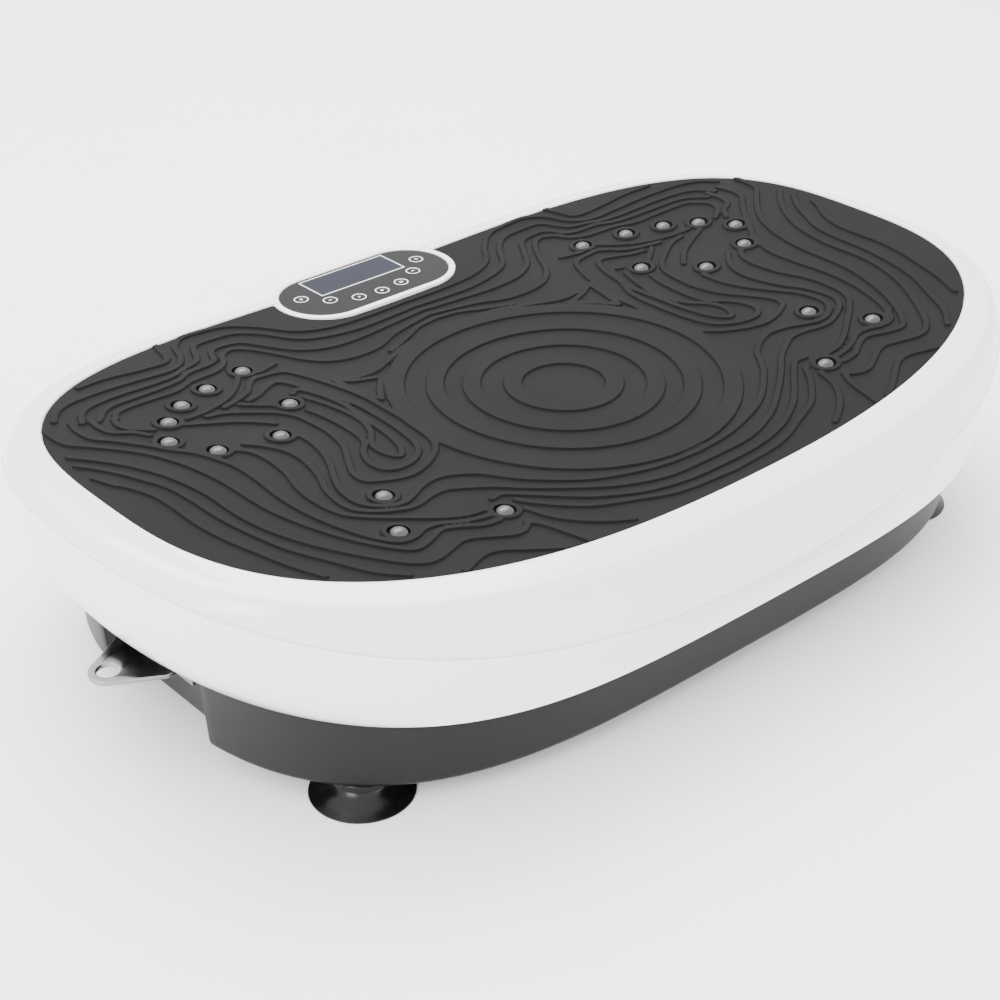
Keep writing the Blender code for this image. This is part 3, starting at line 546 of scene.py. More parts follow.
# %% Ridge lines of the left half, in millimetres
RIDGES = {
    "edge_stub": ((-243, 142), (-223, 146), (-199, 146), (-181, 147), (-174, 151), (-171, 163),
        (-168, 176)),
    "wave_1": ((-280, 106), (-272, 117), (-261, 124), (-248, 128), (-225, 132), (-199, 134),
        (-183, 135), (-172, 140), (-165, 150), (-162, 160), (-157, 168), (-147, 175), (-129, 176),
        (-113, 173), (-97, 159), (-83, 141), (-63, 132), (-33, 130), (2, 131)),
    "wave_2": ((-267, 96), (-261, 107), (-252, 114), (-231, 120), (-199, 124), (-185, 127),
        (-172, 133), (-161, 138), (-156, 146), (-152, 155), (-147, 160), (-133, 162), (-117, 161),
        (-103, 150), (-89, 130), (-73, 122), (-49, 118), (-25, 119), (2, 121)),
    "wave_3": ((-257, 94), (-248, 104), (-239, 109), (-223, 112), (-199, 116), (-185, 120),
        (-175, 126), (-159, 129), (-151, 133), (-148, 140), (-143, 147), (-133, 149), (-121, 146),
        (-111, 132), (-99, 116), (-81, 107), (-57, 106), (-33, 109), (2, 113)),
    "wave_4": ((-247, 92), (-243, 98), (-233, 102), (-212, 105), (-196, 107), (-181, 114),
        (-161, 118), (-153, 122), (-147, 128), (-143, 136), (-133, 141), (-123, 134), (-113, 118),
        (-103, 100), (-91, 89), (-75, 85), (-55, 87), (-33, 97), (2, 105)),
    "wave_5": ((-53, 77), (-33, 86), (-17, 94), (2, 97)),
    "wave_6": ((-106, 66), (-95, 60), (-79, 60), (-57, 70), (-33, 79), (2, 82)),
    "stud_tail": ((-138, 102), (-132, 104), (-123, 107)),
    "toe_link": ((-212, 70), (-199, 72), (-185, 77), (-172, 84), (-161, 94), (-155, 101)),
    "outer_u": ((-201, 66), (-189, 64), (-175, 56), (-163, 47), (-156, 35), (-154, 16), (-154, 8),
        (-158, -11), (-168, -29), (-175, -43), (-175, -53), (-168, -58), (-156, -62), (-145, -62),
        (-129, -55), (-115, -43), (-109, -27), (-107, -6), (-107, 16), (-107, 34), (-112, 60),
        (-119, 82), (-126, 94), (-141, 96), (-148, 95), (-155, 89), (-161, 82), (-172, 76),
        (-185, 71)),
    "middle_u_top": ((-168, 71), (-159, 74), (-149, 80), (-139, 84), (-133, 78), (-128, 63),
        (-125, 48), (-118, 31), (-117, 7), (-119, -19), (-124, -38), (-136, -49), (-150, -52),
        (-158, -47), (-159, -37), (-154, -25), (-145, -14), (-142, 2), (-143, 26), (-146, 40)),
    "heel_link": ((-175, 69), (-167, 63), (-157, 56)),
    "inner_loop": ((-137, 56), (-132, 40), (-129, 23), (-129, 8), (-134, -6), (-142, -17),
        (-145, -27), (-143, -37), (-138, -40), (-131, -29), (-127, -9), (-125, 16), (-124, 35),
        (-128, 55), (-134, 67), (-140, 64)),
    "sole_1": ((-299, 30), (-293, 16), (-292, 16), (-286, 5), (-282, -8), (-281, -22),
        (-281, -48), (-278, -70), (-273, -89), (-267, -110), (-259, -129)),
    "sole_2": ((-299, 48), (-291, 39), (-283, 27), (-275, 10), (-275, 11), (-270, -3),
        (-268, -22), (-267, -48), (-263, -73), (-257, -96), (-246, -118), (-235, -139),
        (-222, -152)),
    "sole_3": ((-297, 60), (-285, 48), (-273, 32), (-264, 14), (-263, 11), (-259, -6),
        (-257, -22), (-257, -48), (-254, -70), (-246, -93), (-235, -113), (-219, -136),
        (-209, -145), (-201, -147), (-190, -144), (-177, -139), (-168, -140), (-158, -145),
        (-147, -150), (-139, -149), (-132, -143)),
    "sole_4": ((-291, 98), (-291, 83), (-288, 74), (-279, 66), (-267, 54), (-256, 40), (-248, 22),
        (-244, 7), (-241, -14), (-240, -48), (-236, -70), (-228, -94), (-219, -112), (-209, -126),
        (-201, -132), (-190, -129), (-177, -123), (-166, -126), (-155, -132), (-144, -133)),
    "sole_5": ((-273, 99), (-275, 87), (-273, 75), (-264, 66), (-252, 52), (-243, 39), (-233, 27),
        (-227, 12), (-224, 0), (-224, -19), (-226, -48), (-224, -73), (-218, -96), (-211, -112),
        (-203, -121), (-193, -121), (-184, -117), (-174, -117), (-161, -123), (-152, -125),
        (-143, -126)),
    "sole_6": ((-261, 98), (-262, 86), (-259, 76), (-249, 70), (-243, 62)),
    "sole_7": ((-249, 91), (-251, 83), (-248, 75), (-237, 67)),
    "arch_1": ((-212, 19), (-206, 11), (-204, -3), (-206, -22), (-212, -43), (-213, -64),
        (-209, -80), (-198, -91), (-184, -101), (-168, -112), (-155, -118), (-143, -119)),
    "arch_2": ((-204, 23), (-196, 15), (-189, 2), (-188, -14), (-193, -35), (-200, -51),
        (-203, -69), (-200, -80), (-190, -88), (-177, -93), (-168, -93), (-156, -89), (-145, -88),
        (-136, -92), (-121, -101), (-105, -115), (-81, -133), (-61, -145), (-33, -154), (2, -155)),
    "arch_3": ((-170, 14), (-171, -3), (-177, -22), (-187, -41), (-193, -54), (-195, -69),
        (-192, -78), (-184, -85), (-174, -87), (-164, -83), (-153, -77), (-140, -74), (-128, -77),
        (-116, -85), (-107, -97), (-96, -109), (-73, -127), (-49, -137), (-25, -143), (2, -145)),
    "toe_1": ((-217, 63), (-201, 56), (-189, 50), (-179, 42), (-173, 36)),
    "fan_1": ((-131, -112), (-123, -111), (-115, -117), (-105, -126), (-94, -136), (-81, -146),
        (-57, -158), (-29, -164), (2, -165)),
    "fan_2": ((-121, -121), (-113, -132), (-100, -145), (-89, -153), (-69, -161), (-41, -171),
        (2, -174)),
    "fan_3": ((-123, -132), (-118, -147), (-108, -160), (-96, -170), (-84, -177)),
    "fan_4": ((-132, -144), (-127, -152), (-123, -165), (-119, -181)),
    "hem_wave": ((-195, -165), (-184, -160), (-174, -157), (-164, -159), (-153, -166),
        (-142, -173), (-129, -180)),
    "wedge_1": ((-108, 64), (-99, 57), (-85, 52)),
    "wedge_2": ((-80, 52), (-92, 39), (-101, 26)),
    "wedge_3": ((-108, 62), (-105, 44), (-102, 29)),
}
RINGS = ((26.0, 37.7), (51.7, 63.3), (74.6, 86.0), (99.2, 111.3))
RING_CENTRE = (0.0, -0.0292)
RIDGE_HALF_WIDTH = 0.0021
STUD_BOSS, STUD_HOLE = 0.0098, 0.0064
print(len(RIDGES), "ridge lines,", sum(len(line) for line in RIDGES.values()), "points")

# %% [markdown]
# A ridge line is drawn with a handful of points. A Catmull-Rom curve through them gives the flow,
# and each line is mirrored to the right half.

# %% Smooth lines
def smooth_line(points, steps=5):
    """Catmull-Rom curve through the points, in metres."""
    spots = [np.array(p, float) / 1000 for p in points]
    spots = [2 * spots[0] - spots[1]] + spots + [2 * spots[-1] - spots[-2]]
    line = []
    for a, b, c, d in zip(spots, spots[1:], spots[2:], spots[3:]):
        for t in np.arange(steps) / steps:
            line.append(0.5 * (2 * b + (c - a) * t + (2 * a - 5 * b + 4 * c - d) * t * t
                               + (3 * b - a - 3 * c + d) * t ** 3))
    return np.array(line + [spots[-2]])


lines = [smooth_line(points) for points in RIDGES.values()]
lines += [line * (-1, 1) for line in lines]
starts = np.concatenate([line[:-1] for line in lines])
ends = np.concatenate([line[1:] for line in lines])
print(len(starts), "short segments")

# %% Distances over the mat
REACH = 0.012
low_x, high_x = np.minimum(starts, ends)[:, 0] - REACH, np.maximum(starts, ends)[:, 0] + REACH


def to_lines(spots, column):
    """Distance to the nearest ridge line within reach; the spots come in columns of equal x."""
    nearest = np.full(len(spots), REACH)
    for k in range(0, len(spots), column):
        near = (low_x < spots[k, 0]) & (high_x > spots[k, 0])
        if near.any():
            step = (ends - starts)[near]
            size = np.maximum((step ** 2).sum(1), 1e-12)
            part = spots[k:k + column, None, :] - starts[near]
            along = np.clip((part * step).sum(2) / size, 0, 1)
            apart = ((part - along[..., None] * step) ** 2).sum(2).min(1)
            nearest[k:k + column] = np.minimum(REACH, np.sqrt(apart))
    return nearest


stud_boxes = [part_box(name) for name in sorted(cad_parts) if name.startswith("stud_")]
stud_spots = [((low + high) / 2) for low, high in stud_boxes]


def to_studs(spots):
    flat = np.array([(spot.x, spot.y) for spot in stud_spots])
    return np.sqrt(((spots[:, None] - flat[None]) ** 2).sum(2).min(1))


def to_rings(spots):
    """Negative inside a raised ring."""
    r = np.hypot(*(spots - RING_CENTRE).T) * 1000
    return np.min([np.maximum(low - r, r - high) for low, high in RINGS], 0) / 1000


def inside_mat(spots):
    """Negative inside the outline of the mat, with the panel's surround taken out."""
    share = (np.abs(spots / MAT_HALF) ** MAT_POWERS[0]).sum(1) ** (1 / MAT_POWERS[0])
    edge = (share - 1) * MAT_HALF[1]
    reach = np.maximum(np.abs(spots[:, 0]) - PANEL_STRAIGHT, 0)
    panel = PANEL_RADIUS + PANEL_RING + 0.0003 - np.hypot(reach, spots[:, 1] - PANEL_Y)
    return np.maximum(edge, panel)


# %% [markdown]
# The grid is cut by one level at a time. Every edge that crosses the level gets one new point,
# shared by the triangles on both sides, so the sheet stays closed. The point carries all the
# measured distances with it, mixed in the same share.

# %% Cut a triangle sheet along a level
def cut_level(values, triangles, column, height):
    """Splits triangles where values[:, column] crosses the height."""
    values = [tuple(row) for row in values]
    side = [bool(row[column] > height) for row in values]
    made = {}

    def crossing(a, b):
        key = (min(a, b), max(a, b))
        if key not in made:
            low, high = values[key[0]], values[key[1]]
            share = (height - low[column]) / (high[column] - low[column])
            share = min(max(share, 0.02), 0.98)
            spot = [p + (q - p) * share for p, q in zip(low, high)]
            spot[column] = height
            made[key] = len(values)
            values.append(tuple(spot))
        return made[key]

    result = []
    for a, b, c in triangles:
        pattern = side[a] + side[b] + side[c]
        if pattern in (0, 3):
            result.append((a, b, c))
            continue
        lone = pattern == 1
        while side[a] != lone or side[b] == lone or side[c] == lone:
            a, b, c = b, c, a
        ab, ac = crossing(a, b), crossing(a, c)
        result += [(a, ab, ac), (ab, b, c), (ab, c, ac)]
    return np.array(values), result


# %% Measure the grid
CELL = 0.0017
FILLET = 0.0022
xs = np.arange(-MAT_HALF[0] - CELL, MAT_HALF[0] + 2 * CELL, CELL)
ys = np.arange(-MAT_HALF[1] - CELL, MAT_HALF[1] + 2 * CELL, CELL)
grid = np.stack(np.meshgrid(xs, ys, indexing="ij"), -1).reshape(-1, 2)
stud_distance = to_studs(grid)
raised = to_rings(grid)
for other in (to_lines(grid, len(ys)) - RIDGE_HALF_WIDTH, stud_distance - STUD_BOSS):
    overlap = np.maximum(FILLET - np.abs(raised - other), 0)
    raised = np.minimum(raised, other) - overlap ** 2 / (4 * FILLET)
values = np.stack([grid[:, 0], grid[:, 1], inside_mat(grid), raised, stud_distance], 1)
triangles = []
for i in range(len(xs) - 1):
    for j in range(len(ys) - 1):
        a = i * len(ys) + j
        b, c, d = a + len(ys), a + len(ys) + 1, a + 1
        if min(values[k][2] for k in (a, b, c, d)) < 0:
            triangles += [(a, b, c), (a, c, d)] if (i + j) % 2 else [(a, b, d), (b, c, d)]
print(len(grid), "grid points,", len(triangles), "triangles before cutting")

# %% Cut the outline, the ridge walls and the stud holes
OUTLINE, RAISED, STUD = 2, 3, 4
WALL_HALF = 0.0004
for column, height in ((OUTLINE, 0.0), (RAISED, -WALL_HALF), (RAISED, WALL_HALF),
                       (STUD, STUD_HOLE - 0.0002), (STUD, STUD_HOLE + 0.0002)):
    values, triangles = cut_level(values, triangles, column, height)
middle = values[np.array(triangles)].mean(1)
triangles = [tri for tri, spot in zip(triangles, middle) if spot[OUTLINE] < 0]
print(len(triangles), "triangles after cutting")

# %% [markdown]
# Now every point knows how far it is from a wall, so its height is read off: the top of a ridge,
# the floor between ridges, or the sunken ring round a stud. The open edge is then pulled down by
# an extrusion to give the sheet its thickness, and the underside is closed in strips that follow
# the dish.

# %% Heights and the sheet
RIDGE_TOP, FLOOR, STUD_FLOOR = 0.0003, -0.0009, -0.0022


def mat_height(row):
    up = min(max((WALL_HALF - row[RAISED]) / (2 * WALL_HALF), 0), 1)
    height = FLOOR + (RIDGE_TOP - FLOOR) * up
    if row[STUD] < STUD_HOLE - 0.0001:
        height = STUD_FLOOR
    return DECK_Z + dish(row[0]) + height


used = sorted({k for tri in triangles for k in tri})
place = {k: i for i, k in enumerate(used)}
clear()
bpy.ops.mesh.primitive_grid_add(x_subdivisions=2, y_subdivisions=2, size=0.01)
mat = named("rubber_mat_sheet")
sheet = bpy.data.meshes.new("rubber_mat_sheet")
sheet.from_pydata([(values[k][0], values[k][1], mat_height(values[k])) for k in used], [],
                  [tuple(place[k] for k in tri) for tri in triangles])
mat.data = sheet
mesh = edit(mat)
bpy.ops.mesh.select_mode(type="EDGE")
bpy.ops.mesh.select_all(action="SELECT")
bpy.ops.mesh.region_to_loop()
bpy.ops.mesh.extrude_edges_move()
mesh = bmesh.from_edit_mesh(mat.data)
rim = [vert for vert in mesh.verts if vert.select]
for vert in rim:
    vert.co.z = DECK_Z + dish(vert.co.x) - MAT_THICK
print(len(rim), "points round the underside")

# %% Close the underside
def close_under(mesh, rim):
    """Zips the front and rear halves of the lower edge together, from one end to the other."""
    front = sorted((v for v in rim if v.co.y < 0), key=lambda v: v.co.x)
    rear = sorted((v for v in rim if v.co.y >= 0), key=lambda v: v.co.x)
    i = j = 0
    while i < len(front) - 1 or j < len(rear) - 1:
        step_front = j == len(rear) - 1 or (i < len(front) - 1
                                            and front[i + 1].co.x < rear[j + 1].co.x)
        if step_front:
            mesh.faces.new((front[i], front[i + 1], rear[j]))
            i += 1
        else:
            mesh.faces.new((front[i], rear[j + 1], rear[j]))
            j += 1


close_under(mesh, rim)
bmesh.update_edit_mesh(mat.data)
bpy.ops.object.mode_set(mode="OBJECT")
MAT_LIMIT = 190000
count = sum(len(face.vertices) - 2 for face in mat.data.polygons)
modify(mat, "DECIMATE", ratio=min(1.0, MAT_LIMIT / count))
print(count, "triangles thinned to", sum(len(f.vertices) - 2 for f in mat.data.polygons))
tidy_skin(mat, 25)
mat_rubber.on(mat)
ride(mat, "deck", "rubber_mat", slot="mat")

# %% [markdown]
# ## Massage studs
#
# Twenty-two small metal domes stand through the mat. One is turned from a short cylinder: its top
# face is inset and lifted in steps to make the dome and the thin collar. It is then copied to
# every place, and each copy gets its own mesh.

# %% One stud, then twenty-two
def make_stud():
    clear()
    bpy.ops.mesh.primitive_cylinder_add(vertices=40, radius=0.0056, depth=0.0034,
                                        location=(0, 0, -0.0017))
    stud = named("stud_master")
    edit(stud)
    pick(stud, lambda face: face.normal.z > 0.9)
    for thickness, lift in ((0.0004, 0.0004), (0.0006, 0.0007), (0.0010, 0.0008),
                            (0.0012, 0.0006), (0.0012, 0.0003), (0.0008, 0.0001)):
        bpy.ops.mesh.inset(thickness=thickness)
        bpy.ops.transform.translate(value=(0, 0, lift))
    bpy.ops.object.mode_set(mode="OBJECT")
    return tidy_skin(stud, 50)


master = make_stud()
for name in sorted(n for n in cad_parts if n.startswith("stud_")):
    low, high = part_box(name)
    spot = (low + high) / 2
    copy = bpy.data.objects.new(name + "_dome", master.data.copy())
    bpy.context.scene.collection.objects.link(copy)
    copy.data.transform(Matrix.Translation((spot.x, spot.y, DECK_Z + dish(spot.x) - 0.0010)))
    stud_steel.on(copy)
    ride(copy, "deck", name, slot="stud")
bpy.data.objects.remove(master, do_unlink=True)

# %% [markdown]
# ## Control panel
#
# The panel is a printed plastic overlay: dark charcoal gloss, a display behind a clear window,
# and seven round keys with a white printed ring and a small sign each. The keys are separate
# discs that go down when pressed, so the overlay has a hole for each, and the prints ride on
# their keys. Signs are plain shapes: arrows, a plus, a minus, a triangle, dots.

# %% Panel finishes
panel_gloss = Finish("charcoal_panel_gloss", Specular_IOR_Level=0.06, Coat_Weight=0.01,
                     Coat_Roughness=0.15)
grain, cloud = panel_gloss.noise(1500.0, 2.0), panel_gloss.noise(25.0, 2.0)
panel_gloss.set(Base_Color=panel_gloss.tint(cloud, (0.0070, 0.0072, 0.0082), (0.0095, 0.0097, 0.0107)),
                Roughness=0.26 + grain * 0.10)
panel_gloss.bump(grain, 0.00003)

display_glass = Finish("display_glass", Specular_IOR_Level=0.06, Coat_Weight=0.01,
                       Coat_Roughness=0.04)
haze, dots = display_glass.noise(30.0, 1.0), display_glass.noise(2500.0, 1.0)
display_glass.set(Base_Color=display_glass.tint((haze * 0.8 + dots * 0.2).clamped(),
                                                (0.0080, 0.0100, 0.0190), (0.0120, 0.0140, 0.0240)),
                  Roughness=0.10 + dots * 0.05)

print_white = Finish("white_print")
grain = print_white.noise(1800.0, 2.0)
print_white.set(Base_Color=print_white.tint(grain, (0.62, 0.62, 0.62), (0.78, 0.78, 0.77)),
                Roughness=0.38 + grain * 0.15)
print("panel finishes:", panel_gloss.material.name, display_glass.material.name)

# %% Overlay
key_nodes = sorted(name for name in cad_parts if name.startswith("key_"))
key_spots = {name: (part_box(name)[0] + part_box(name)[1]) / 2 for name in key_nodes}
PANEL_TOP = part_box("panel_overlay")[1].z
KEY_RADIUS, KEY_HOLE = 0.0052, 0.0055


def disc(name, radius, low, high, spot=(0, 0), sides=48):
    clear()
    bpy.ops.mesh.primitive_cylinder_add(vertices=sides, radius=radius, depth=high - low,
                                        location=(spot[0], spot[1], (low + high) / 2))
    return named(name)


overlay = loft("panel_overlay_skin",
               [stadium(PANEL_RADIUS, PANEL_TOP - 0.0024), stadium(PANEL_RADIUS, PANEL_TOP - 0.0003),
                stadium(PANEL_RADIUS - 0.0003, PANEL_TOP)])
for name, spot in key_spots.items():
    cut(overlay, disc("hole_tool", KEY_HOLE, PANEL_TOP - 0.01, PANEL_TOP + 0.01, spot))
window_low, window_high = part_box("display_window")
window_size = window_high - window_low
clear()
bpy.ops.mesh.primitive_cube_add(size=1, scale=(window_size.x + 0.0003, window_size.y + 0.0003, 0.02),
                                location=(window_low + window_high) / 2)
cut(overlay, named("window_tool"))
tidy_skin(overlay, 30)
panel_gloss.on(overlay)
ride(overlay, "deck", "panel_overlay", slot="panel")
display_glass.on(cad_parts["display_window"])

# %% [markdown]
# Prints are ink a few hundredths of a millimetre thick. Each one is a flat outline lofted to a
# thin closed plate, so it stays a real piece. A ring is an outer and an inner circle joined by a
# bridge, which keeps its middle open.

# %% Prints: plates and rings
INK = 0.00006


def plate(name, outline, low):
    """Thin closed plate with the given flat outline."""
    return loft(name, [[(x, y, low) for x, y in outline], [(x, y, low + INK) for x, y in outline]])


def ring_print(name, spot, outer, inner, low, sides=48):
    """Flat ring: a cross-section carried round the middle."""
    turns = [2 * math.pi * i / sides for i in range(sides)]
    rings = [[(spot[0] + r * math.cos(t), spot[1] + r * math.sin(t), z) for t in turns]
             for r, z in ((inner, low), (outer, low), (outer, low + INK), (inner, low + INK),
                          (inner, low))]
    return loft(name, rings, caps=None)


def join(pieces, name):
    clear()
    for piece in pieces:
        piece.select_set(True)
    bpy.context.view_layer.objects.active = pieces[0]
    bpy.ops.object.join()
    pieces[0].name = pieces[0].data.name = name
    return pieces[0]


def bar(spot, wide, tall, turn=0.0):
    """Rectangle outline turned about its middle."""
    c, s = math.cos(turn), math.sin(turn)
    return [(spot[0] + x * c - y * s, spot[1] + x * s + y * c)
            for x, y in ((-wide / 2, -tall / 2), (wide / 2, -tall / 2), (wide / 2, tall / 2),
                         (-wide / 2, tall / 2))]


def triangle(spot, size, turn):
    return [(spot[0] + size * math.cos(turn + 2 * math.pi * i / 3),
             spot[1] + size * math.sin(turn + 2 * math.pi * i / 3)) for i in range(3)]


# %% Signs on the keys
SIGN = 0.0026


def sign_outlines(name, spot):
    x, y = spot[0], spot[1]
    if name.endswith("_up") or name.endswith("_plus"):
        return [bar((x, y), SIGN, 0.0007), bar((x, y + 0.0009), 0.0007, 0.0010),
                bar((x, y - 0.0009), 0.0007, 0.0010)]
    if name.endswith("_down") or name.endswith("_minus"):
        return [bar((x, y), SIGN, 0.0007)]
    if name.endswith("_start"):
        return [triangle((x - 0.0002, y), 0.0017, 0.0)]
    if name.endswith("_set"):
        return [bar((x - 0.0008, y), 0.0008, 0.0026), bar((x + 0.0008, y), 0.0008, 0.0026)]
    return [bar((x, y), 0.0014, 0.0014, math.pi / 4)]


for name, spot in key_spots.items():
    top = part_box(name)[1].z
    cap = disc(name + "_cap", KEY_RADIUS, top - 0.0016, top - INK)
    cap.data.transform(Matrix.Translation((spot.x, spot.y, 0)))
    modify(cap, "BEVEL", width=0.0002, segments=2, limit_method="ANGLE")
    tidy_skin(cap, 40)
    panel_gloss.on(cap)
    ride(cap, name + "_body", name, slot="panel")
    marks = [ring_print("mark", spot, 0.0051, 0.0043, top - INK)]
    marks += [plate("mark", outline, top - INK) for outline in sign_outlines(name, spot)]
    marks = join(marks, name + "_print")
    print_white.on(marks)
    ride(marks, name + "_body")

# %% Display outline
def frame_outline(grow):
    return [(window_low.x - grow, window_low.y - grow), (window_high.x + grow, window_low.y - grow),
            (window_high.x + grow, window_high.y + grow), (window_low.x - grow, window_high.y + grow)]


edge = loft("display_outline", [[(x, y, z) for x, y in frame_outline(grow)] for grow, z in
                                ((0.0001, PANEL_TOP), (0.0010, PANEL_TOP), (0.0010, PANEL_TOP + INK),
                                 (0.0001, PANEL_TOP + INK), (0.0001, PANEL_TOP))], caps=None)
print_white.on(edge)
ride(edge, "deck")

# %% [markdown]
# ## Base
#
# The fixed base is a satin black tub under the deck. Its walls lean out a little, its lower
# corner is rounded, and the middle of each end has a recess for the steel eye of a resistance
# band. It is lofted in the same way as the shell, with the recess drawn into every level line.

# %% Tray outline
TRAY_FOOT, TRAY_TOP_HALF, TRAY_POWERS = (0.2950, 0.1900), (0.2985, 0.1935), (3.70, 2.68)
tray_low, tray_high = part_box("base_tray")
RECESS = (0.2800, 0.0530, 0.0400)


def tray_line(half, z, inset=0.0, steps=220):
    """Level line of the tray, with the two end recesses drawn in."""
    depth, wide, narrow = RECESS[0] - inset, RECESS[1] + inset, RECESS[2] + inset
    edge = superellipse((half[0] - inset, half[1] - inset), TRAY_POWERS, steps)

    def end_x(y):
        share = 1 - (abs(y) / (half[1] - inset)) ** TRAY_POWERS[1]
        return (half[0] - inset) * share ** (1 / TRAY_POWERS[0])

    quarter = [(x, y) for x, y in edge if x > 0.0001 and y > wide + 0.004]
    recess = [(depth, 0.006), (depth, narrow - 0.0030), (depth + 0.0006, narrow - 0.0012),
              (depth + 0.0022, narrow + 0.0006), (end_x(wide) - 0.0022, wide - 0.0012),
              (end_x(wide) - 0.0006, wide - 0.0002), (end_x(wide + 0.0014), wide + 0.0014)]
    quarter = recess + quarter
    upper = quarter + [(0.0, half[1] - inset)] + [(-x, y) for x, y in reversed(quarter)]
    return [(x, y, z) for x, y in upper + [(x, -y) for x, y in reversed(upper)]]


def tray_rings():
    rings, corner = [], 0.0045
    for i in range(9):
        turn = math.pi / 2 * i / 8
        rings.append(tray_line(TRAY_FOOT, tray_low.z + corner * (1 - math.sin(turn)),
                               corner * (1 - math.cos(turn))))
    rings = rings[::-1]
    span = tray_high.z - tray_low.z
    for share in (0.35, 0.7, 1.0):
        rings.append(tray_line(mix(TRAY_FOOT, TRAY_TOP_HALF, share), tray_low.z + span * share))
    rings.append(tray_line(TRAY_TOP_HALF, tray_high.z, WALL))
    rings.append(tray_line(TRAY_FOOT, tray_low.z + WALL, WALL))
    return rings


tray = loft("base_tub", tray_rings())
inlet_low, inlet_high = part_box("power_inlet")
clear()
bpy.ops.mesh.primitive_cube_add(size=1, location=(0, inlet_high.y - 0.008, (inlet_low.z + inlet_high.z) / 2),
                                scale=(0.062, 0.030, 0.028))
cut(tray, named("inlet_tool"))
tidy_skin(tray, 30)
satin_black.on(tray)
ride(tray, "base", "base_tray", slot="black")

# %% [markdown]
# ## Suction feet
#
# Four glossy rubber cups grip the floor. Each is one turned shape: a cap that screws into the
# base, a waist, and a thin skirt that flares to the floor and is hollow beneath. Half of the
# section is drawn as a line and spun round its axis, which gives the skirt an even wall.

# %% Spin a foot
FOOT_SECTION = ((0.0, 0.0148), (0.0166, 0.0148), (0.0172, 0.0142), (0.0174, 0.0112),
                (0.0168, 0.0104), (0.0172, 0.0096), (0.0196, 0.0078), (0.0232, 0.0050),
                (0.0268, 0.0026), (0.0294, 0.0015), (0.0303, 0.0010), (0.0305, 0.0004),
                (0.0300, 0.0), (0.0290, 0.0001), (0.0250, 0.0026), (0.0200, 0.0058),
                (0.0120, 0.0074), (0.0, 0.0078))


def spin_section(name, section, steps=64, axis=(0, 0, 1)):
    """Draws half a section as a line of points and spins it a full turn."""
    clear()
    bpy.ops.mesh.primitive_plane_add(size=0.01)
    piece = named(name)
    line = bpy.data.meshes.new(name)
    spots = [(r, 0, h) if axis[2] else (h, 0, r) for r, h in section]
    line.from_pydata(spots, [(i, i + 1) for i in range(len(spots) - 1)], [])
    piece.data = line
    edit(piece)
    bpy.ops.mesh.select_all(action="SELECT")
    bpy.ops.mesh.spin(steps=steps, angle=2 * math.pi, center=(0, 0, 0), axis=axis)
    bpy.ops.object.mode_set(mode="OBJECT")
    return tidy_skin(piece, 40)


foot_master = spin_section("foot_master", FOOT_SECTION)
for name in sorted(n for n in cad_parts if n.startswith("foot_")):
    low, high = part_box(name)
    cup = bpy.data.objects.new(name + "_cup", foot_master.data.copy())
    bpy.context.scene.collection.objects.link(cup)
    cup.data.transform(Matrix.Translation(((low.x + high.x) / 2, (low.y + high.y) / 2, low.z)))
    foot_rubber.on(cup)
    ride(cup, "base", name, slot="gloss")
bpy.data.objects.remove(foot_master, do_unlink=True)

# %% [markdown]
# ## Band eyes
#
# A plated steel eye stands out of each end recess. The plate and its wall flange come from the
# engineering model, which already has the right outline. A fine bevel on a merged copy breaks the
# sharp edges, so they catch a line of light, and two pan-head screws hold each flange.

# %% Bevelled eyes and their screws
def copy_node(node, name):
    """A merged copy of a CAD node, ready to be worked on."""
    piece = bpy.data.objects.new(name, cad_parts[node].data.copy())
    bpy.context.scene.collection.objects.link(piece)
    edit(piece)
    bpy.ops.mesh.select_all(action="SELECT")
    bpy.ops.mesh.remove_doubles(threshold=0.00001)
    bpy.ops.mesh.dissolve_limited(angle_limit=math.radians(1))
    bpy.ops.object.mode_set(mode="OBJECT")
    return piece


def screw_master():
    """Pan head with a cross recess, axis up, seat at zero."""
    clear()
    bpy.ops.mesh.primitive_cylinder_add(vertices=28, radius=0.0034, depth=0.0012,
                                        location=(0, 0, 0.0006))
    head = named("screw_master")
    edit(head)
    pick(head, lambda face: face.normal.z > 0.9)
    for thickness, lift in ((0.0005, 0.0005), (0.0008, 0.0003), (0.0008, 0.0001)):
        bpy.ops.mesh.inset(thickness=thickness)
        bpy.ops.transform.translate(value=(0, 0, lift))
    bpy.ops.object.mode_set(mode="OBJECT")
    for turn in (0, math.pi / 2):
        clear()
        bpy.ops.mesh.primitive_cube_add(size=1, scale=(0.0034, 0.0007, 0.0022), rotation=(0, 0, turn),
                                        location=(0, 0, 0.0022))
        cut(head, named("recess_tool"))
    return tidy_skin(head, 35)


screw = screw_master()


def put_screw(name, spot, direction, body="base", size=1.0):
    """Copies the screw to a place with its head pointing along the direction."""
    copy = bpy.data.objects.new(name, screw.data.copy())
    bpy.context.scene.collection.objects.link(copy)
    turn = Vector(direction).to_track_quat("Z", "Y").to_matrix().to_4x4()
    copy.data.transform(Matrix.Translation(spot) @ turn @ Matrix.Scale(size, 4))
    plated_steel.on(copy)
    return ride(copy, body)


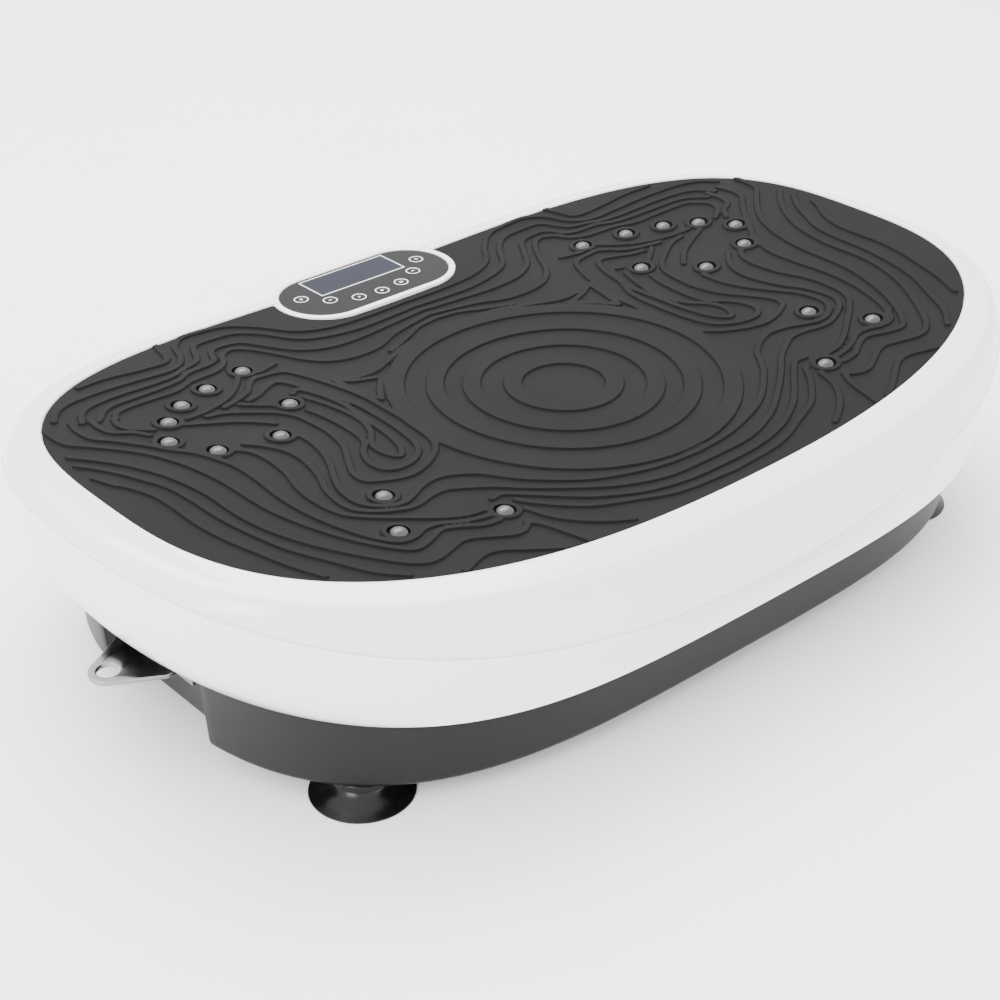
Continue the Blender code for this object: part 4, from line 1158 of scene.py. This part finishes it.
for side, label in ((-1, "left"), (1, "right")):
    for node in (f"eyelet_{label}",):
        eye = copy_node(node, f"band_eye_{label}")
        modify(eye, "BEVEL", width=0.0005, segments=3, limit_method="ANGLE",
               angle_limit=math.radians(40))
        tidy_skin(eye, 40)
        plated_steel.on(eye)
        ride(eye, "base", node, slot="chrome")
        low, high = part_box(node)
    wall_x = side * (RECESS[0] + 0.0033)
    for k, y in enumerate((-0.0185, 0.0185)):
        put_screw(f"eye_screw_{label}_{k}", (wall_x, y, low.z + 0.0060), (side, 0, 0))

# %% [markdown]
# ## Inlet, underside and inner works
#
# The mains inlet and its rocker keep their engineering shapes with a small bevel. Underneath,
# ten screws hold the tub to the chassis. The drive inside is hardly ever seen, but it shows from
# below when the tub is off and in the exploded part, so each part gets its true metal.

# %% Inlet and rocker
for node, body, width in (("power_inlet", "base", 0.0005), ("rocker_switch", "switch", 0.0004)):
    piece = copy_node(node, node + "_skin")
    modify(piece, "BEVEL", width=width, segments=2, limit_method="ANGLE",
           angle_limit=math.radians(50), use_clamp_overlap=True)
    tidy_skin(piece, 35)
    (satin_black if body == "base" else foot_rubber).on(piece)
    ride(piece, body, node, slot="black" if body == "base" else "gloss")

# %% Screws under the tub
under = [(x, y) for x in (-0.262, 0.262) for y in (-0.070, 0.070)]
under += [(x, y) for x in (-0.130, 0.0, 0.130) for y in (-0.160, 0.160)]
for k, (x, y) in enumerate(under):
    put_screw(f"tub_screw_{k}", (x, y, tray_low.z), (0, 0, -1), size=1.15)
bpy.data.objects.remove(screw, do_unlink=True)

# %% Circuit board finish
board_green = Finish("circuit_board", Coat_Weight=0.3, Coat_Roughness=0.2)
tracks = board_green.node("ShaderNodeTexBrick", {"Vector": board_green.place, "Scale": 260.0,
                                                 "Mortar Size": 0.03}, out=1)
mottle = board_green.noise(120.0, 3.0)
board_green.set(Base_Color=board_green.tint((tracks * 0.5 + mottle * 0.4).clamped(),
                                            (0.015, 0.10, 0.045), (0.05, 0.22, 0.10)),
                Roughness=0.35 + mottle * 0.2)
board_green.bump(tracks, 0.00008)

# %% Finishes for the inner works
inner = {
    "chassis_plate": rolled_steel, "deck_frame": rolled_steel, "pivot_shaft": plated_steel,
    "pivot_bracket_front": rolled_steel, "pivot_bracket_rear": rolled_steel,
    "eccentric_shaft": plated_steel, "bearing_block_left": cast_steel,
    "bearing_block_right": cast_steel, "conrod_left": cast_steel, "conrod_right": cast_steel,
    "motor_body": motor_shell, "motor_bracket": rolled_steel, "motor_pulley": plated_steel,
    "drive_belt": cable_black, "driver_board": board_green, "control_board": board_green,
}
for node, made in inner.items():
    made.on(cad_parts[node])
left_plain = [n for n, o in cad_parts.items() if not o.hide_render and n not in inner
              and n != "display_window"]
print("nodes still plain:", left_plain)

# %% [markdown]
# ## Camera, floor and light
#
# The view is the product's own catalogue angle: from the front left, a little above. Light is
# soft and even, as in a white tent: a bright surround, a broad panel overhead and behind for the
# long highlight on the mat, and a smaller one at the left for the corner of the shell.

# %% Camera
AZIMUTH, ELEVATION, ROLL = (math.radians(v) for v in (-40.87156, 30.73873, -0.56628))
EYE = Vector((-0.7465, -0.8300, 0.7008))
back = Vector((math.sin(AZIMUTH) * math.cos(ELEVATION), -math.cos(AZIMUTH) * math.cos(ELEVATION),
               math.sin(ELEVATION)))
right = (-back).cross(Vector((0, 0, 1))).normalized()
up = (-back).cross(right) * -1
c, s = math.cos(ROLL), math.sin(ROLL)
cam_x, cam_y = c * right + s * up, c * up - s * right
lens = bpy.data.cameras.new("catalogue_camera")
lens.lens, lens.sensor_width, lens.clip_start = 71.04, 36.0, 0.01
camera = bpy.data.objects.new("catalogue_camera", lens)
bpy.context.scene.collection.objects.link(camera)
camera.matrix_world = Matrix(((cam_x.x, cam_y.x, back.x, EYE.x), (cam_x.y, cam_y.y, back.y, EYE.y),
                              (cam_x.z, cam_y.z, back.z, EYE.z), (0, 0, 0, 1)))
bpy.context.scene.camera = camera
print("camera up:", [round(v, 3) for v in cam_y])

# %% Floor
clear()
bpy.ops.mesh.primitive_plane_add(size=12)
floor = named("studio_floor")
studio = Finish("studio_floor", Specular_IOR_Level=0.2)
grain = studio.noise(8.0, 2.0)
studio.set(Base_Color=studio.tint(grain, (0.95, 0.95, 0.95), (0.98, 0.98, 0.98)),
           Roughness=0.7 + grain * 0.1)
studio.on(floor)

# %% Light
world = bpy.data.worlds.new("white_tent")
world.use_nodes = True
world.node_tree.nodes["Background"].inputs["Color"].default_value = (1.0, 1.0, 1.0, 1.0)
world.node_tree.nodes["Background"].inputs["Strength"].default_value = 2.8
bpy.context.scene.world = world


def panel_light(name, spot, aim, size, watts):
    lamp = bpy.data.lights.new(name, "AREA")
    lamp.shape, lamp.size, lamp.size_y, lamp.energy = "RECTANGLE", size[0], size[1], watts
    holder = bpy.data.objects.new(name, lamp)
    bpy.context.scene.collection.objects.link(holder)
    way = (Vector(aim) - Vector(spot)).to_track_quat("-Z", "Y")
    holder.matrix_world = Matrix.Translation(spot) @ way.to_matrix().to_4x4()
    print(f"{name}: {watts} W")


panel_light("overhead_panel", (0.3, 0.9, 1.9), (0, 0, 0.1), (2.2, 1.2), 80)
panel_light("left_panel", (-1.9, -0.5, 1.1), (-0.1, -0.1, 0.1), (0.8, 1.0), 34)
panel_light("front_fill", (0.8, -2.2, 1.0), (0.1, 0, 0.1), (1.6, 1.0), 16)
